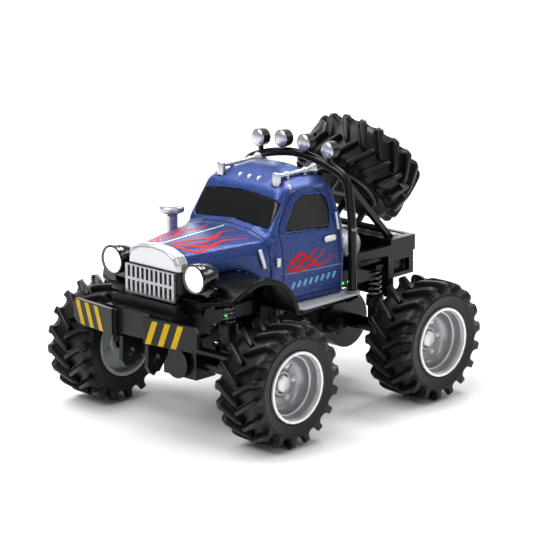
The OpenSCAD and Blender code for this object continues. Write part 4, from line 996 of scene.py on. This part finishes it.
TANK_Y, TANK_Z = 57, 112
line = [(0, -34), (8.8, -34), (10.1, -33.0), (10.4, -31.8)]
for x in range(-30, 31, 10):
    line += [(10.4, x - 2.0), (11.0, x - 1.4), (11.0, x + 1.4), (10.4, x + 2.0)]
line += [(10.4, 31.8), (10.1, 33.0), (8.8, 34), (0, 34)]
tank = [moved(lathe(line, 56), at(0, TANK_Y, TANK_Z) @ ALONG_X)]
tank += [block(x, x + 4, 50, 64, 101, 105.5, 0.5) for x in (-22, 18)]
# the tank's lightened silver is painted light against its shade
piece("tank_body", joined(*tank), tank_metal_lightened, "chassis", ["fuel_tank"])

lid = [bevelled(prism(rounded([(-43.6, 87.4), (43.6, 87.4), (43.6, 106.6), (-43.6, 106.6)], 3, 5),
                      106.1, 113.4), 0.7, 3, 50),
       bevelled(prism(rounded([(-41, 90), (41, 90), (41, 104), (-41, 104)], 4, 5), 113.2, 113.95),
                0.3, 2, 50)]
piece("tail_box_lid", joined(*lid), lid_grey, "chassis")
inner = [block(-45.4, 45.4, 85.0, 86.4, 85.0, 97.9, 0.3),
         block(-45.4, 45.4, 103.4, 104.8, 85.0, 97.9, 0.3)]
inner += [on_side(block(44.2, 45.6, 85.0, 104.8, 85.0, 97.9, 0.3), s) for s in (1, -1)]
inner += [block(-15.5, 15.5, 60, 110.5, 84.2, 86.4, 0.4),
          block(-15.5, 15.5, 100, 101.5, 76.5, 97.5, 0.3)]
# upright plate across the frame's rear end, drawn flat and then stood up
PLATE_Y, PLATE_T = 105.8, 2.4
plate_line = rounded([(-31, 60), (31, 60), (31, 84), (16, 86), (-16, 86), (-31, 84)], 4, 4)
flat_points, plate_faces = prism(plate_line, 0, PLATE_T)
plate_points = [(x, z + PLATE_Y, y) for x, y, z in flat_points]
inner.append(bevelled((plate_points, plate_faces), 0.5, 2, 50))
piece("bed_inner_panels", joined(*inner), black_soft, "chassis")
# dark panels that close the view behind the grille and under the lamps
front = [block(-38, 38, -109.6, -107.4, 88.5, 103.5, 0.5),
         block(-25.4, 25.4, -121.8, -107.6, 93.4, 100.4, 0.9)]
front += [on_side(block(25.6, 47, -118.5, -107.6, 98.5, 103.6, 0.9), s) for s in (1, -1)]
piece("front_valance", joined(*front), black_soft, "chassis")
# pale plate inside each front rim, its colour lightened as painted light against the shade inside
# the rim
disc = rounded([(6.2, -14.6), (9.5, -14.6), (10.5, -13.4), (21.5, -13.4), (22.3, -14.4),
                (22.75, -14.4), (22.75, -12.6), (6.2, -12.6)], 0.35, 3)
vanes = [moved(block(11.5, 20.5, -0.6, 0.6, -14.1, -13.2, 0.25), turned(90 * k + 20, "Z"))
         for k in range(4)]
for label, side, body, _ in WHEELS[:2]:
    plate = moved(joined(lathe(disc, 72, closed=True), *vanes), wheel_place(label))
    piece(label + "_rim_back_plate", on_side(plate, side), back_plate_lightened, body)


# ---------------------------------------------------------------- springs

COIL_TURNS, COIL_R, WIRE_R = 7.0, 4.4, 0.6


def spring_form(x, y, z0, z1):
    """Coil spring with closed ends between two heights."""
    steps = int(COIL_TURNS * 24)
    path = []
    for i in range(steps + 1):
        t = i / steps
        rise = WIRE_R + (z1 - z0 - 2 * WIRE_R) * min(1, max(0, (t - 0.07) / 0.86))
        a = 2 * math.pi * COIL_TURNS * t
        path.append((x + COIL_R * math.cos(a), y + COIL_R * math.sin(a), z0 + rise))
    return tube(path, WIRE_R, 10)


seat_cup = rounded([(5.5, -0.3), (5.5, 4.6), (6.1, 4.9), (6.7, 4.4), (6.9, -0.3)], 0.3, 3)
SPRINGS = [("front", "front_link", "front_axle"), ("rear", "rear_link", "rear_axle")]
for label, link, axle in SPRINGS:
    for side_name, side in SIDES:
        node = f"spring_{label}_{side_name}"
        low, high = corner(node)
        x, y = (low.x + high.x) / 2, (low.y + high.y) / 2
        coil = piece(node + "_coil", spring_form(x, y, low.z, high.z), spring_metal, None,
                     [node])
        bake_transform(coil)
        seat = shifted(lathe(seat_cup, 40, True), x, y, low.z)
        piece(node + "_cup", seat, black_soft, axle)


# ---------------------------------------------------------------- small green lamps

RAIL_SIDE, LED_Z = 21, 79.5         # outer face of a frame rail, and the lamps' height
led = [(0, 1.2), (0.5, 1.05), (0.85, 0.6), (0.9, -0.4), (0, -0.4)]
leds = []
for side in (1, -1):
    for y in (-68, 60, 66):
        outward = ALONG_X if side > 0 else ALONG_X.inverted()
        spot = at(RAIL_SIDE * side, y, LED_Z) @ outward
        leds.append(moved(lathe(led, 16), spot))
piece("underbody_leds", joined(*leds), led_glow, "chassis")


# ---------------------------------------------------------------- floor, light, camera

FLOOR_HALF = 15.0       # metres
mesh = bpy.data.meshes.new("floor")
mesh.from_pydata([(x * FLOOR_HALF, y * FLOOR_HALF, 0) for x, y in
                  ((-1, -1), (1, -1), (1, 1), (-1, 1))], [], [(0, 1, 2, 3)])
mesh.materials.append(material("floor_white", "f4f4f4", (0.7, 0.8), tint=0.005, grain=0.0))
obj = add_object("floor", mesh)
obj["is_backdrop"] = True


def area_light(name, place, aim, size, power):
    """Soft box at a place in metres, turned to a point."""
    data = bpy.data.lights.new(name, "AREA")
    data.shape = "RECTANGLE"
    data.size, data.size_y = size
    data.energy = power
    obj = add_object(name, data)
    obj.location = place
    obj.rotation_euler = (Vector(aim) - Vector(place)).to_track_quat("-Z", "Y").to_euler()


AIM, HOOD = (0, 0, 0.09), (0.02, -0.08, 0.13)
area_light("key_light", (-0.25, -1.15, 1.25), AIM, (0.8, 0.5), 9)
area_light("side_light", (1.35, -0.25, 0.75), AIM, (0.2, 0.9), 2.5)
area_light("top_light", (-0.55, -0.3, 1.4), AIM, (0.9, 0.7), 10)
area_light("rim_light", (-1.6, 1.67, 0.8), AIM, (2.6, 1.1), 22)
area_light("back_light", (0.7, 1.25, 0.9), AIM, (0.8, 0.4), 4)
area_light("hood_light", (-0.05, 0.75, 1.2), HOOD, (0.5, 0.3), 8)
sun_data = bpy.data.lights.new("sky_light", "SUN")
sun_data.energy = 1.1
sun_data.angle = math.radians(60)
sun = add_object("sky_light", sun_data)
sun.rotation_euler = (math.radians(12), math.radians(-8), 0)

world = bpy.data.worlds.new("studio")
world.use_nodes = True
put(world.node_tree.nodes["Background"], Color=(1, 1, 1, 1), Strength=0.3)
bpy.context.scene.world = world
bpy.context.scene.view_settings.view_transform = "Standard"

# the camera's own axes, the point it is set back from, and its distance in millimetres
TARGET, DISTANCE = Vector((0, -4, 71)), 2180.39
BACK = Vector((0.66786, -0.69629, 0.262946))
RIGHT = Vector((0.72287, 0.690955, -0.0063477))
UP = Vector((-0.177264, 0.194315, 0.96479))
AIM_RIGHT, AIM_UP = 0.00517, 0.00875        # the view's middle beside the target
camera_data = bpy.data.cameras.new("camera")
camera_data.sensor_width, camera_data.lens = 36, 185.46
camera_data.clip_start, camera_data.clip_end = 0.05, 60
camera = add_object("camera", camera_data)
look = (-BACK + AIM_RIGHT * RIGHT + AIM_UP * UP).normalized()
z_axis = -look
x_axis = UP.cross(z_axis).normalized()
y_axis = z_axis.cross(x_axis)
pose = Matrix((x_axis, y_axis, z_axis)).transposed().to_4x4()
pose.translation = (TARGET + BACK * DISTANCE) * MM
camera.matrix_world = pose
bpy.context.scene.camera = camera

low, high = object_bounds()
